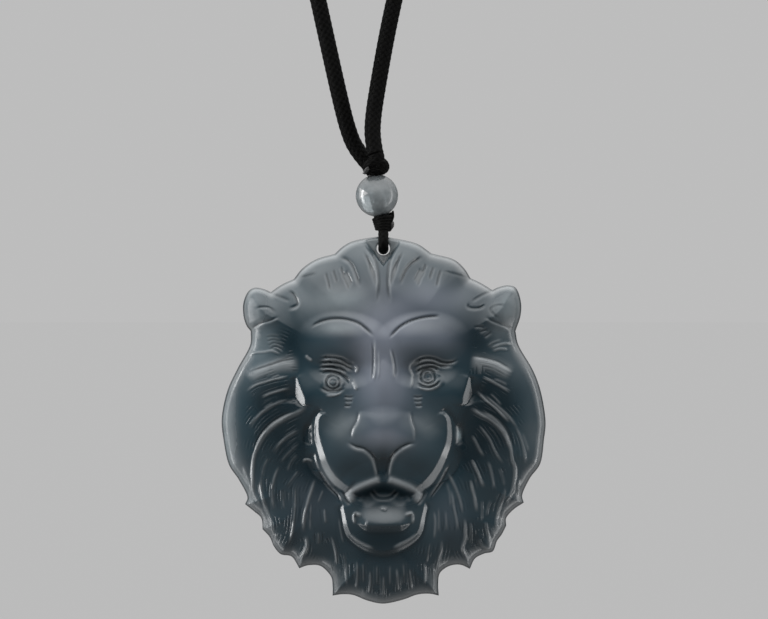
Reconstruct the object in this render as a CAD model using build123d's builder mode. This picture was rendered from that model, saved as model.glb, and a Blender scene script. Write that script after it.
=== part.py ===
from build123d import *
import os
from math import cos, pi, radians, sin, tan

import numpy as np

# Carved jade lion head that hangs from a black neck cord, in millimetres.
# +Z is up and the lion looks towards -Y. The origin is the nape of the neck:
# the middle of the back stretch of the cord, on the side that lies on the neck.

# Carved head
head_width = 50.0
head_height = 56.4
relief_depth = 12.0
rim_thickness = 1.7
body_rise = 3.6
body_slope = 8.5
edge_roll = 0.6
edge_roll_width = 0.9
back_roll = 0.4
rings = 28

# Hole at the top of the head and the thin V-shaped seat around it
hole_diameter = 2.1
hole_drop = 1.85
seat_thickness = 1.8
seat_width = 5.8
seat_length = 4.7
seat_wall = 0.4

# Cords, bead and knots
neck_cord_diameter = 2.5
hanger_diameter = 1.6
thread_diameter = 1.2
bead_diameter = 6.5
bead_bore = 1.5
bead_lean = 14.0
bead_gap = 0.1

top_knot_width = 4.4
top_knot_depth = 5.4
top_knot_height = 3.1
top_knot_corner = 1.4
top_knot_shift = 0.65

wrap_height = 2.35
wrap_shift = 0.3
wrap_top_width = 3.4
wrap_top_depth = 4.3
wrap_foot_width = 2.45
wrap_foot_depth = 4.8

hanger_reach = 2.55
hanger_bend = 1.1
hanger_shoulder = 1.0
hanger_crown_spread = 2.0
hanger_crown = 0.6

# Where the cord's right end meets the top knot, and where the pendant hangs
cord_end_drop = 230.5
cord_end_x = -1.2
pendant_y = -118.0
strand_spacing = 2.7

# Route of the neck cord from its left end, up and round the neck, to its right
# end. Each point is x, y from the hanging plane, z from the right end.
left_strand = [
    (-2.5, 0.5 * strand_spacing, -1.15),
    (-4.3, 1.3, 0.85),
    (-5.55, 0.8, 4.1),
    (-6.65, 0.3, 8.5),
    (-8.35, 0.2, 16.1),
    (-11.5, 0.8, 30.5),
    (-17.6, 2.4, 57.0),
    (-26.8, 5.8, 96.5),
    (-36.4, 11.8, 135.5),
    (-45.0, 23.0, 171.0),
    (-51.4, 41.0, 197.5),
    (-54.0, 65.0, 213.5),
    (-50.4, 89.0, 222.6),
    (-38.5, 107.4, 227.6),
    (-20.0, 117.3, 230.0),
]
nape_point = (0.0, 119.8, 230.5)
right_strand = [
    (20.0, 117.4, 229.9),
    (38.4, 107.6, 227.4),
    (50.4, 89.3, 222.2),
    (54.0, 65.2, 212.9),
    (49.8, 41.0, 196.6),
    (41.6, 23.0, 170.0),
    (30.8, 11.6, 134.6),
    (19.6, 5.6, 95.8),
    (9.6, 1.6, 57.2),
    (4.5, 0.3, 36.0),
    (1.95, 0.1, 25.0),
    (0.45, 0.05, 17.9),
    (-0.95, -0.1, 9.9),
    (-1.6, -0.35, 5.6),
    (-1.7, -1.05, 2.3),
    (cord_end_x, -0.5 * strand_spacing, 0.0),
]

# Outline of the head, clockwise from the front, from the left shoulder of the
# top. Across is a share of half the width and down a share of the height.
ROUND = 0
TIP = 1
outline_table = [
    # across, down, kind of point
    (-0.298, 0.047, TIP),
    (-0.249, 0.028, ROUND),
    (-0.194, 0.014, ROUND),
    (-0.108, 0.005, ROUND),
    (-0.006, 0.000, ROUND),
    (0.065, 0.005, ROUND),
    (0.138, 0.011, ROUND),
    (0.218, 0.022, ROUND),
    (0.295, 0.046, TIP),
    (0.428, 0.062, ROUND),
    (0.495, 0.086, ROUND),
    (0.535, 0.113, TIP),
    (0.600, 0.127, ROUND),
    (0.671, 0.146, TIP),
    (0.711, 0.138, ROUND),
    (0.769, 0.133, ROUND),
    (0.818, 0.142, ROUND),
    (0.846, 0.179, ROUND),
    (0.843, 0.217, ROUND),
    (0.812, 0.258, TIP),
    (0.834, 0.299, ROUND),
    (0.920, 0.364, ROUND),
    (0.969, 0.424, ROUND),
    (0.998, 0.500, ROUND),
    (0.988, 0.555, ROUND),
    (0.966, 0.617, ROUND),
    (0.902, 0.658, ROUND),
    (0.855, 0.702, ROUND),
    (0.863, 0.725, TIP),
    (0.803, 0.743, ROUND),
    (0.757, 0.766, ROUND),
    (0.756, 0.788, TIP),
    (0.729, 0.811, ROUND),
    (0.698, 0.830, ROUND),
    (0.674, 0.857, ROUND),
    (0.618, 0.864, ROUND),
    (0.563, 0.878, ROUND),
    (0.532, 0.905, TIP),
    (0.471, 0.894, ROUND),
    (0.403, 0.898, ROUND),
    (0.348, 0.917, ROUND),
    (0.337, 0.947, ROUND),
    (0.341, 0.978, TIP),
    (0.280, 0.973, ROUND),
    (0.206, 0.976, ROUND),
    (0.120, 0.989, ROUND),
    (0.003, 1.000, ROUND),
    (-0.095, 0.992, ROUND),
    (-0.182, 0.977, ROUND),
    (-0.249, 0.974, ROUND),
    (-0.312, 0.978, TIP),
    (-0.312, 0.953, ROUND),
    (-0.323, 0.925, ROUND),
    (-0.385, 0.898, ROUND),
    (-0.458, 0.895, ROUND),
    (-0.517, 0.904, TIP),
    (-0.563, 0.872, ROUND),
    (-0.631, 0.865, ROUND),
    (-0.674, 0.844, ROUND),
    (-0.698, 0.819, ROUND),
    (-0.743, 0.797, TIP),
    (-0.751, 0.767, ROUND),
    (-0.797, 0.748, ROUND),
    (-0.850, 0.729, TIP),
    (-0.837, 0.707, ROUND),
    (-0.889, 0.662, ROUND),
    (-0.951, 0.620, ROUND),
    (-0.982, 0.557, ROUND),
    (-0.994, 0.495, ROUND),
    (-0.960, 0.421, ROUND),
    (-0.895, 0.359, ROUND),
    (-0.822, 0.299, ROUND),
    (-0.815, 0.258, TIP),
    (-0.843, 0.241, ROUND),
    (-0.861, 0.214, ROUND),
    (-0.861, 0.181, ROUND),
    (-0.834, 0.151, ROUND),
    (-0.791, 0.140, ROUND),
    (-0.735, 0.143, ROUND),
    (-0.692, 0.151, TIP),
    (-0.625, 0.131, ROUND),
    (-0.551, 0.116, TIP),
    (-0.495, 0.086, ROUND),
    (-0.409, 0.062, ROUND),
]

# Raised and sunk forms. Across, half width and half length are shares of half
# the head's width, down is a share of its height, and rise of the relief depth.
# Both means that the form is mirrored onto the right half of the face.
form_table = [
    # name, side, across, down, half width, half length, turn, rise, squareness, softness
    ("face", "middle", 0.000, 0.424, 0.603, 0.923, 0, 0.217, 2.2, 1.0),
    ("forehead", "middle", 0.000, 0.173, 0.431, 0.283, 0, 0.058, 2.0, 1.2),
    ("nose", "middle", 0.000, 0.478, 0.222, 0.382, 0, 0.192, 2.0, 0.9),
    ("nose_tip", "middle", 0.000, 0.538, 0.228, 0.135, 0, 0.075, 2.2, 0.8),
    ("jaw", "middle", 0.003, 0.732, 0.271, 0.271, 0, 0.125, 2.4, 0.4),
    ("mouth", "middle", 0.003, 0.694, 0.191, 0.080, 0, -0.267, 2.2, 0.5),
    ("lip", "middle", 0.003, 0.759, 0.203, 0.074, 0, 0.075, 2.6, 0.5),
    ("brow", "both", -0.255, 0.290, 0.222, 0.166, 4, 0.108, 2.0, 0.7),
    ("socket", "both", -0.298, 0.380, 0.172, 0.086, 6, -0.092, 2.0, 0.9),
    ("eyeball", "both", -0.298, 0.391, 0.086, 0.049, 0, 0.067, 2.0, 0.6),
    ("cheekbone", "both", -0.391, 0.435, 0.160, 0.135, 10, 0.050, 2.0, 1.0),
    ("muzzle", "both", -0.255, 0.571, 0.178, 0.277, -25, 0.192, 2.2, 0.42),
    ("ear", "both", -0.748, 0.195, 0.142, 0.148, 0, 0.075, 2.0, 0.8),
    ("ear_cup", "both", -0.748, 0.203, 0.074, 0.062, 0, -0.058, 2.0, 1.0),
]

# Main folds: grooves with a step on one side. Half width and reach are shares
# of half the head's width, groove and step of the relief depth. A step above
# zero lifts the right hand side of someone who walks along the fold.
fold_table = [
    # name, side, half width, groove, step, reach, points across and down
    ("parting", "both", 0.015, 0.033, 0.029, 0.055,
     [(-0.126, 0.015), (-0.071, 0.045), (-0.040, 0.081), (-0.028, 0.132), (-0.040, 0.187)]),
    ("top_lock", "both", 0.016, 0.037, -0.042, 0.074,
     [(-0.268, 0.053), (-0.206, 0.072), (-0.169, 0.100), (-0.145, 0.135)]),
    ("brow_line", "both", 0.015, 0.042, -0.021, 0.049,
     [(-0.446, 0.247), (-0.391, 0.231), (-0.298, 0.222), (-0.206, 0.228), (-0.120, 0.247),
      (-0.046, 0.277)]),
    ("bridge_crease", "both", 0.014, 0.029, 0.0, 0.049,
     [(-0.046, 0.282), (-0.046, 0.315), (-0.040, 0.353), (-0.046, 0.391)]),
    ("eyelid", "both", 0.014, 0.037, 0.0, 0.049,
     [(-0.391, 0.340), (-0.317, 0.333), (-0.243, 0.340), (-0.157, 0.361)]),
    ("nose_side", "both", 0.014, 0.037, 0.033, 0.074,
     [(-0.145, 0.468), (-0.157, 0.495), (-0.188, 0.522), (-0.206, 0.547)]),
    ("nostril", "both", 0.015, 0.050, 0.050, 0.074,
     [(-0.225, 0.549), (-0.163, 0.563), (-0.095, 0.579), (-0.046, 0.607), (-0.028, 0.656)]),
    ("upper_lip", "both", 0.015, 0.033, 0.042, 0.049,
     [(-0.022, 0.658), (-0.095, 0.672), (-0.175, 0.686)]),
    ("muzzle_fold", "both", 0.018, 0.058, -0.058, 0.055,
     [(-0.378, 0.476), (-0.428, 0.500), (-0.440, 0.533), (-0.415, 0.574), (-0.360, 0.617),
      (-0.280, 0.658), (-0.194, 0.683)]),
    ("cheekbone_edge", "both", 0.021, 0.017, -0.133, 0.160,
     [(-0.532, 0.372), (-0.508, 0.405), (-0.477, 0.438), (-0.477, 0.462), (-0.514, 0.476)]),
    ("jaw_line", "both", 0.017, 0.058, 0.0, 0.049,
     [(-0.262, 0.707), (-0.243, 0.751), (-0.212, 0.797), (-0.132, 0.830), (0.000, 0.849)]),
    ("ear_fold", "both", 0.015, 0.029, 0.025, 0.049,
     [(-0.815, 0.252), (-0.748, 0.236), (-0.686, 0.228), (-0.631, 0.217)]),
    ("ear_root", "both", 0.015, 0.037, -0.025, 0.049,
     [(-0.588, 0.146), (-0.545, 0.160), (-0.526, 0.179), (-0.588, 0.198)]),
    ("outer_lock", "both", 0.018, 0.037, -0.042, 0.098,
     [(-0.606, 0.329), (-0.748, 0.348), (-0.846, 0.386), (-0.908, 0.446), (-0.926, 0.514),
      (-0.895, 0.596)]),
    ("upper_lock", "both", 0.016, 0.037, -0.042, 0.074,
     [(-0.538, 0.380), (-0.655, 0.391), (-0.778, 0.416), (-0.846, 0.459), (-0.877, 0.528),
      (-0.865, 0.604), (-0.828, 0.675)]),
    ("middle_lock", "both", 0.015, 0.033, -0.037, 0.074,
     [(-0.551, 0.438), (-0.655, 0.457), (-0.754, 0.495), (-0.815, 0.544), (-0.840, 0.596)]),
    ("cheek_lock", "both", 0.018, 0.046, -0.067, 0.111,
     [(-0.477, 0.468), (-0.588, 0.489), (-0.717, 0.536), (-0.778, 0.596), (-0.797, 0.656),
      (-0.760, 0.710), (-0.698, 0.762), (-0.680, 0.816)]),
    ("inner_lock", "both", 0.015, 0.033, -0.033, 0.074,
     [(-0.520, 0.522), (-0.600, 0.544), (-0.668, 0.579), (-0.717, 0.626), (-0.735, 0.675),
      (-0.711, 0.726), (-0.668, 0.778)]),
    ("side_lock", "both", 0.015, 0.029, -0.029, 0.074,
     [(-0.508, 0.582), (-0.594, 0.617), (-0.643, 0.664), (-0.655, 0.729)]),
    ("long_lock", "both", 0.016, 0.037, -0.037, 0.074,
     [(-0.495, 0.647), (-0.532, 0.691), (-0.538, 0.740), (-0.557, 0.800), (-0.594, 0.854)]),
    ("spike_lock", "both", 0.017, 0.046, -0.046, 0.074,
     [(-0.397, 0.647), (-0.446, 0.702), (-0.471, 0.756), (-0.477, 0.811), (-0.471, 0.849),
      (-0.508, 0.884)]),
    ("chin_lock", "both", 0.016, 0.037, -0.033, 0.074,
     [(-0.305, 0.718), (-0.305, 0.786), (-0.286, 0.854), (-0.280, 0.936)]),
    ("beard_lock", "both", 0.015, 0.033, -0.025, 0.062,
     [(-0.169, 0.887), (-0.163, 0.931), (-0.175, 0.972)]),
    ("beard_middle", "middle", 0.015, 0.029, 0.0, 0.062,
     [(0.000, 0.882), (0.003, 0.931), (-0.003, 0.980)]),
]

# Sampling of the curves and softening of the relief near the head's edge
curve_steps = 6
fold_steps = 4
fold_fade = 0.12
form_margin = 2.5
fold_margin = 0.8
head_centre_down = 0.5

# Heights and places that follow from the sizes above
half_width = 0.5 * head_width
lean = radians(bead_lean)
down_axis = Vector(sin(lean), 0, -cos(lean))
knot_slope = Vector(cos(lean), 0, sin(lean))
bead_radius = 0.5 * bead_diameter
knot_foot = Vector(cord_end_x - 0.6, pendant_y, -cord_end_drop - top_knot_height)
bead_centre = knot_foot + down_axis * (bead_radius + bead_gap)
wrap_crown = bead_centre + down_axis * (bead_radius + bead_gap)
wrap_foot_z = wrap_crown.Z - wrap_height
hole_centre = Vector(0, pendant_y, wrap_foot_z - hanger_reach)
head_top_z = hole_centre.Z + hole_drop
back_y = pendant_y + 0.5 * seat_thickness


def smooth_step(low, high, value):
    """Rises from 0 at low to 1 at high with no corner at either end."""
    t = np.clip((value - low) / (high - low), 0, 1)
    return t * t * (3 - 2 * t)


def place(across, down):
    """Point of the head's front view, in mm from the middle of its top edge."""
    return across * half_width, -down * head_height


def curve_points(points, steps):
    """Smooth curve through the points, steps samples to a span."""
    points = np.asarray(points, float)
    first = 2 * points[0] - points[1]
    last = 2 * points[-1] - points[-2]
    padded = np.vstack([first, points, last])
    t = np.linspace(0, 1, steps, endpoint=False)[:, None]
    spans = []
    for a, b, c, d in zip(padded, padded[1:], padded[2:], padded[3:]):
        slope = c - a
        bend = 2 * a - 5 * b + 4 * c - d
        twist = 3 * b - a - 3 * c + d
        spans.append(0.5 * (2 * b + slope * t + bend * t**2 + twist * t**3))
    spans.append(points[-1:])
    return np.vstack(spans)


def outline_runs():
    """Runs of the outline from one tip or notch to the next, as sampled curves."""
    runs = []
    run = [place(*outline_table[0][:2])]
    for across, down, kind in outline_table[1:] + outline_table[:1]:
        run.append(place(across, down))
        if kind == TIP:
            runs.append(curve_points(run, curve_steps))
            run = [place(across, down)]
    return runs


def share_out(runs, count):
    """Points round the outline, count in all, with one on every tip."""
    lengths = [np.hypot(*np.diff(run, axis=0).T).sum() for run in runs]
    ideal = np.array(lengths) * count / sum(lengths)
    counts = np.maximum(np.floor(ideal), 1).astype(int)
    while counts.sum() < count:
        counts[np.argmax(ideal - counts)] += 1
    points = []
    for run, number in zip(runs, counts):
        steps = np.hypot(*np.diff(run, axis=0).T)
        travelled = np.concatenate([[0], np.cumsum(steps)])
        wanted = np.linspace(0, travelled[-1], number, endpoint=False)
        x = np.interp(wanted, travelled, run[:, 0])
        z = np.interp(wanted, travelled, run[:, 1])
        points.append(np.column_stack([x, z]))
    return np.vstack(points)


def nearest(x, z, path):
    """Distance to a path, the side of it that each point is on, and how far along."""
    best = np.full(x.shape, np.inf)
    side = np.zeros(x.shape)
    along = np.zeros(x.shape)
    steps = np.diff(path, axis=0)
    lengths = np.hypot(steps[:, 0], steps[:, 1])
    starts = np.concatenate([[0], np.cumsum(lengths)])
    for start, step, length, before in zip(path, steps, lengths, starts):
        dx = x - start[0]
        dz = z - start[1]
        t = np.clip((dx * step[0] + dz * step[1]) / length**2, 0, 1)
        gap = np.hypot(dx - t * step[0], dz - t * step[1])
        closer = gap < best
        best = np.where(closer, gap, best)
        side = np.where(closer, np.sign(dx * step[1] - dz * step[0]), side)
        along = np.where(closer, (before + t * length) / starts[-1], along)
    return best, side, along


def mirrored(side):
    """Signs of X that a row is built for."""
    return (1, -1) if side == "both" else (1,)


def form_height(x, z, edge):
    """Height that the raised and sunk forms add."""
    total = np.zeros(x.shape)
    for _, side, across, down, wide, long, turn, rise, squareness, softness in form_table:
        middle_x, middle_z = place(across, down)
        angle = radians(turn)
        for sign in mirrored(side):
            dx = sign * x - middle_x
            dz = middle_z - z
            u = (dx * cos(angle) + dz * sin(angle)) / (wide * half_width)
            v = (dz * cos(angle) - dx * sin(angle)) / (long * half_width)
            fill = np.clip(1 - np.abs(u) ** squareness - np.abs(v) ** squareness, 0, 1)
            total += rise * relief_depth * fill**softness
    return total * np.clip(edge / form_margin, 0, 1)


def fold_height(x, z, edge):
    """Height that the grooves and steps of the main folds add."""
    total = np.zeros(x.shape)
    for _, side, wide, groove, step, reach, points in fold_table:
        path = curve_points([place(*point) for point in points], fold_steps)
        for sign in mirrored(side):
            gap, hand, along = nearest(sign * x, z, path)
            ends = smooth_step(0, fold_fade, along) * smooth_step(0, fold_fade, 1 - along)
            notch = np.exp(-((gap / (wide * half_width)) ** 2))
            lifted = np.where(hand * step > 0, abs(step), 0)
            slope = np.exp(-gap / (reach * half_width))
            total += relief_depth * ends * (lifted * (1 - notch) * slope - groove * notch)
    return total * np.clip(edge / fold_margin, 0, 1)


def seat_share(x, z):
    """1 inside the V-shaped seat round the hole, 0 outside it."""
    half = 0.5 * seat_width * (1 + z / seat_length)
    return smooth_step(0, seat_wall, half - np.abs(x))


def front_height(x, z, edge):
    """Thickness of the stone at each point, measured from its flat back."""
    inside = np.clip(edge / body_slope, 0, 1)
    height = rim_thickness + body_rise * np.sqrt(1 - (1 - inside) ** 2)
    height -= edge_roll * np.clip(1 - edge / edge_roll_width, 0, 1) ** 2
    height += form_height(x, z, edge) + fold_height(x, z, edge)
    seat = seat_share(x, z)
    return height * (1 - seat) + np.minimum(height, seat_thickness) * seat


def ring_share(i, j, ring):
    """How far round its square ring a grid point lies, as a share of the ring."""
    if i == ring and j < ring:
        return (j + ring) / (8 * ring)
    if j == ring and i > -ring:
        return (3 * ring - i) / (8 * ring)
    if i == -ring and j > -ring:
        return (5 * ring - j) / (8 * ring)
    return (7 * ring + i) / (8 * ring)


def head_grid():
    """Grid points of the carved front, nested rings from the middle to the outline."""
    rim = share_out(outline_runs(), 8 * rings)
    # the grid's first corner is the lower right, so the outline is turned and reversed
    start = np.argmax(rim[:, 0] - rim[:, 1])
    rim = np.roll(rim, -start - 1, axis=0)[::-1]
    rim = np.vstack([rim, rim[:1]])
    middle = np.array(place(0, head_centre_down))
    places = {}
    for i in range(-rings, rings + 1):
        for j in range(-rings, rings + 1):
            ring = max(abs(i), abs(j))
            if ring == 0:
                places[i, j] = middle
                continue
            at = ring_share(i, j, ring) * 8 * rings
            low = int(at)
            point = rim[low] + (at - low) * (rim[min(low + 1, 8 * rings)] - rim[low])
            places[i, j] = middle + (point - middle) * ring / rings
    return places, rim


def head_faces():
    """Triangles of the carved front and of the rolled rim, and the flat back."""
    places, rim = head_grid()
    keys = list(places)
    flat = np.array([places[key] for key in keys])
    edge = nearest(flat[:, 0], flat[:, 1], rim)[0]
    height = front_height(flat[:, 0], flat[:, 1], edge)
    front = {
        key: Vector(x, back_y - h, head_top_z + z)
        for key, (x, z), h in zip(keys, flat, height)
    }
    triangles = []
    for i in range(-rings, rings):
        for j in range(-rings, rings):
            a, b = front[i, j], front[i + 1, j]
            c, d = front[i + 1, j + 1], front[i, j + 1]
            # the diagonal runs outwards, so that it follows the mane
            if (i + 0.5) * (j + 0.5) > 0:
                triangles += [(a, b, c), (a, c, d)]
            else:
                triangles += [(a, b, d), (b, c, d)]
    outer = [front[key] for key in border(rings)]
    lip = [Vector(point.X, back_y - back_roll, point.Z) for point in outer]
    inner = [Vector(front[key].X, back_y, front[key].Z) for key in border(rings - 1)]
    triangles += band(outer, lip)
    triangles += band(lip, inner)
    faces = [Face(Wire.make_polygon(corners)) for corners in triangles]
    faces.append(Face(Wire.make_polygon(inner)))
    return faces


def border(ring):
    """Grid keys round one square ring, in order."""
    keys = [(ring, j) for j in range(-ring, ring)]
    keys += [(i, ring) for i in range(ring, -ring, -1)]
    keys += [(-ring, j) for j in range(ring, -ring, -1)]
    keys += [(i, -ring) for i in range(-ring, ring)]
    return keys


def band(outer, inner):
    """Triangles between two closed rings of points that may differ in number."""
    triangles = []
    i = 0
    j = 0
    while i < len(outer) or j < len(inner):
        a = outer[i % len(outer)]
        b = inner[j % len(inner)]
        if (i + 1) * len(inner) <= (j + 1) * len(outer):
            triangles.append((a, b, outer[(i + 1) % len(outer)]))
            i += 1
        else:
            triangles.append((a, b, inner[(j + 1) % len(inner)]))
            j += 1
    return triangles


def bend_radii(points):
    """Arc radius for each corner of a cord's route, as large as its runs allow."""
    radii = []
    for before, corner, after in zip(points, points[1:], points[2:]):
        arriving = corner - before
        leaving = after - corner
        turn = radians(arriving.get_angle(leaving))
        radii.append(0.45 * min(arriving.length, leaving.length) / tan(0.5 * turn))
    return radii


def cord_route():
    """Corner points of the neck cord from its left end to its right end."""
    rows = left_strand + [nape_point] + right_strand
    return [Vector(x, pendant_y + y, z - cord_end_drop) for x, y, z in rows]


os.makedirs("parts", exist_ok=True)

# Carved head
with BuildPart() as lion_head:
    add(Solid(Shell(head_faces())))
    with BuildSketch(Plane.XZ.offset(-back_y - relief_depth)):
        with Locations((hole_centre.X, hole_centre.Z)):
            Circle(0.5 * hole_diameter)
    extrude(amount=3 * relief_depth, mode=Mode.SUBTRACT)

# Bead with its leaning bore, and the thread through it
bead_plane = Plane(origin=bead_centre, x_dir=(0, 1, 0), z_dir=down_axis)
with BuildPart() as bead:
    with Locations(bead_plane):
        Sphere(bead_radius)
        Hole(0.5 * bead_bore, depth=bead_diameter)

thread_plane = Plane(origin=knot_foot, x_dir=(0, 1, 0), z_dir=down_axis)
with BuildPart() as bead_thread:
    with BuildSketch(thread_plane):
        Circle(0.5 * thread_diameter)
    extrude(amount=bead_diameter + 2 * bead_gap)

# Neck cord
route = cord_route()
radii = bend_radii(route)
with BuildPart() as neck_cord:
    with BuildLine() as cord_line:
        FilletPolyline(*route, radius=radii)
    with BuildSketch(Plane(origin=cord_line.line @ 0, z_dir=cord_line.line % 0)):
        Circle(0.5 * neck_cord_diameter)
    sweep()

# Top knot, cut square to both ends of the neck cord and to the bead's bore
knot_middle_x = knot_foot.X + top_knot_shift
with BuildPart() as top_knot:
    with BuildSketch(Plane.XY.offset(knot_foot.Z - top_knot_height)):
        with Locations((knot_middle_x, pendant_y)):
            RectangleRounded(top_knot_width, top_knot_depth, top_knot_corner)
    extrude(amount=3 * top_knot_height)
    split(bisect_by=Plane(origin=knot_foot, z_dir=down_axis), keep=Keep.BOTTOM)
    split(bisect_by=Plane(origin=route[-1], z_dir=route[-1] - route[-2]), keep=Keep.TOP)
    with BuildSketch(Plane(origin=route[0], x_dir=(0, 1, 0), z_dir=route[1] - route[0])):
        with Locations((pendant_y - route[0].Y, 0)):
            Rectangle(top_knot_depth, 3 * top_knot_width, align=(Align.MIN, Align.CENTER))
    extrude(amount=2 * top_knot_height, mode=Mode.SUBTRACT)

# Wound knot under the bead
wrap_planes = [
    Plane(origin=(hole_centre.X, pendant_y, wrap_foot_z)),
    Plane(origin=(hole_centre.X, pendant_y, wrap_foot_z + 0.5 * wrap_height)),
    Plane(origin=wrap_crown + wrap_shift * knot_slope, x_dir=knot_slope, z_dir=-down_axis),
]
wrap_sections = [
    (wrap_foot_width, wrap_foot_depth),
    (wrap_top_width, wrap_top_depth),
    (wrap_top_width, wrap_top_depth),
]
with BuildPart() as wrap_knot:
    for plane, (wide, deep) in zip(wrap_planes, wrap_sections):
        with BuildSketch(plane):
            SlotOverall(deep, wide, rotation=90)
    loft()

# Hanger loop, from the wound knot's foot down through the hole and back up
crown_y = 0.5 * hanger_crown_spread
side_y = 0.5 * seat_thickness + hanger_bend
front_points = [
    Vector(0, pendant_y - crown_y, wrap_foot_z + hanger_crown),
    Vector(0, pendant_y - side_y, wrap_foot_z - hanger_shoulder),
    Vector(0, pendant_y - side_y, hole_centre.Z),
]
back_points = [Vector(p.X, 2 * pendant_y - p.Y, p.Z) for p in reversed(front_points)]
shoulder_turn = (front_points[1] - front_points[0]).get_angle(Vector(0, 0, -1))
shoulder_run = 0.95 * (hanger_reach - hanger_shoulder - hanger_bend)
shoulder_bend = shoulder_run / tan(0.5 * radians(shoulder_turn))
loop_radii = [shoulder_bend, hanger_bend, hanger_bend, shoulder_bend]
with BuildPart() as hanger_loop:
    with BuildLine() as loop_line:
        FilletPolyline(*front_points, *back_points, radius=loop_radii)
    with BuildSketch(Plane(origin=loop_line.line @ 0, z_dir=loop_line.line % 0)):
        Circle(0.5 * hanger_diameter)
    sweep()
    split(bisect_by=Plane.XY.offset(wrap_foot_z), keep=Keep.BOTTOM)

pieces = {
    "lion_head": lion_head,
    "bead": bead,
    "bead_thread": bead_thread,
    "neck_cord": neck_cord,
    "top_knot": top_knot,
    "wrap_knot": wrap_knot,
    "hanger_loop": hanger_loop,
}
for name, piece in pieces.items():
    piece.part.label = name
    export_step(piece.part, f"parts/{name}.step")

cord_area = pi * (0.5 * neck_cord_diameter) ** 2
cord_length = cord_line.wires()[0].length
print("neck cord length", round(cord_length, 1))
print("neck cord volume over section times length", neck_cord.part.volume / (cord_area * cord_length))
print("neck cord radii", [round(radius, 1) for radius in radii])
print("hole centre", hole_centre)
print("bead centre", bead_centre)
print("lion head volume", round(lion_head.part.volume, 1), "solids", len(lion_head.part.solids()))
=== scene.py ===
"""Looks for the jade lion head pendant: carved stone, bead, knots and woven cord."""

import logging
import math
from collections.abc import Callable, Sequence
from dataclasses import dataclass, field
from enum import Enum
from functools import cache

import bmesh
import bpy
import numpy as np
from mathutils import Matrix, Vector, noise

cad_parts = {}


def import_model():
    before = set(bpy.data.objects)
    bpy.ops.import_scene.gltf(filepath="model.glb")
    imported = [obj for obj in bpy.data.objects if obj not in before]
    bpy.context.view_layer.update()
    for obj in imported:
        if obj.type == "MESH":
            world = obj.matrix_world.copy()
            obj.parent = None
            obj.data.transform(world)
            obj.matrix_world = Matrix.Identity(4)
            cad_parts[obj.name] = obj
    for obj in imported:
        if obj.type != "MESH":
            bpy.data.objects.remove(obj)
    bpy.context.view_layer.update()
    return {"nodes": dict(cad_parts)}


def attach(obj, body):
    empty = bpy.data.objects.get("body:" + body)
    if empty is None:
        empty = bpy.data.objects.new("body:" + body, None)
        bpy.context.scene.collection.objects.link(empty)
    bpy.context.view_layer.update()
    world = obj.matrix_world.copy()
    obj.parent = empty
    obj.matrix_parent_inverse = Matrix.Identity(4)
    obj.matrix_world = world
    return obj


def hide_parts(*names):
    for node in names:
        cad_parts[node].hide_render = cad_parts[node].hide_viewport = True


log = logging.getLogger("pendant")

Array = np.ndarray
Point = tuple[float, float, float]
Mark = tuple[float, float]
Colour = tuple[float, float, float, float]
Feeds = dict[int | str, object]

MM = 0.001

# The hole that the head hangs by, in mm in the part's own frame.
HOLE = (0.0, -118.0, -245.0)

# The carving is drawn to scale: drawing units to a mm, and where the middle
# line and the top of the head lie on the drawing. X runs right and Y down.
UNITS_PER_MM = 6.5
DRAWING_MIDDLE = 383.5
DRAWING_TOP = 236.4

# Samples to a span of a drawn line, for outline and walls, strokes and hairs,
# and about how many points of the outline distances to the rim are taken from.
FINE_STEPS = 8
STROKE_STEPS = 6
HAIR_STEPS = 4
RIM_POINTS = 560
RING_POINTS = 9

# How far off its line a stroke still works: a groove in widths of its cut, and
# a step in reaches of its cut with some drawing units more.
GROOVE_MARGIN = 4.0
STEP_MARGIN = 3.0
STEP_EXTRA = 6.0

# Drawing units over which a wall's ends blend into the ground, height in mm in
# which the shade at its foot fades, widths of the wall out to which its foot
# can lie, and a height that is far from any foot.
WALL_BLEND = 12.0
FOOT_WIDTH_MM = 0.3
FOOT_REACH = 3.0
FAR = 9.0

# Middle level of a braid's height, fibres across one yarn, share of a bend's
# radius that its inner side may fill, smallest bend, and weld distance in m.
BRAID_LEVEL = 0.75
FIBRES_IN_YARN = 5
BEND_SHARE = 0.9
TINY = 1e-6
WELD = 1e-8

# How much and how finely melted cord is lumpy.
LUMP_RISE = 0.22
LUMP_FINENESS = 1.6

JADE_IOR = 1.6
BLACK: Colour = (0, 0, 0, 1)
WHITE: Colour = (1, 1, 1, 1)


def near_hole(x: float, y: float, z: float) -> Point:
    """Gives a point in metres.

    Args:
        x: Distance to the right of the hole, in mm.
        y: Distance behind the hole, in mm.
        z: Height above the hole, in mm.

    Returns:
        The point in the part's frame.
    """
    return ((HOLE[0] + x) * MM, (HOLE[1] + y) * MM, (HOLE[2] + z) * MM)


def smooth_step(low: float, high: float, value: Array) -> Array:
    """Rises from 0 at low to 1 at high with no corner at either end."""
    t = np.clip((value - low) / (high - low), 0.0, 1.0)
    return t * t * (3.0 - 2.0 * t)


def both_ends(fade: float, along: Array) -> Array:
    """Fades in and out over a share of a line's length at both of its ends."""
    return smooth_step(0.0, fade, along) * smooth_step(0.0, fade, 1.0 - along)


def bell(gap: Array, width: float) -> Array:
    """Falls from 1 at no gap to nothing at a few widths."""
    return np.exp(-((gap / width) ** 2))


def travelled(line: Array) -> Array:
    """Distance along a line to each of its points."""
    return np.concatenate([[0.0], np.cumsum(np.linalg.norm(np.diff(line, axis=0), axis=1))])


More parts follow.
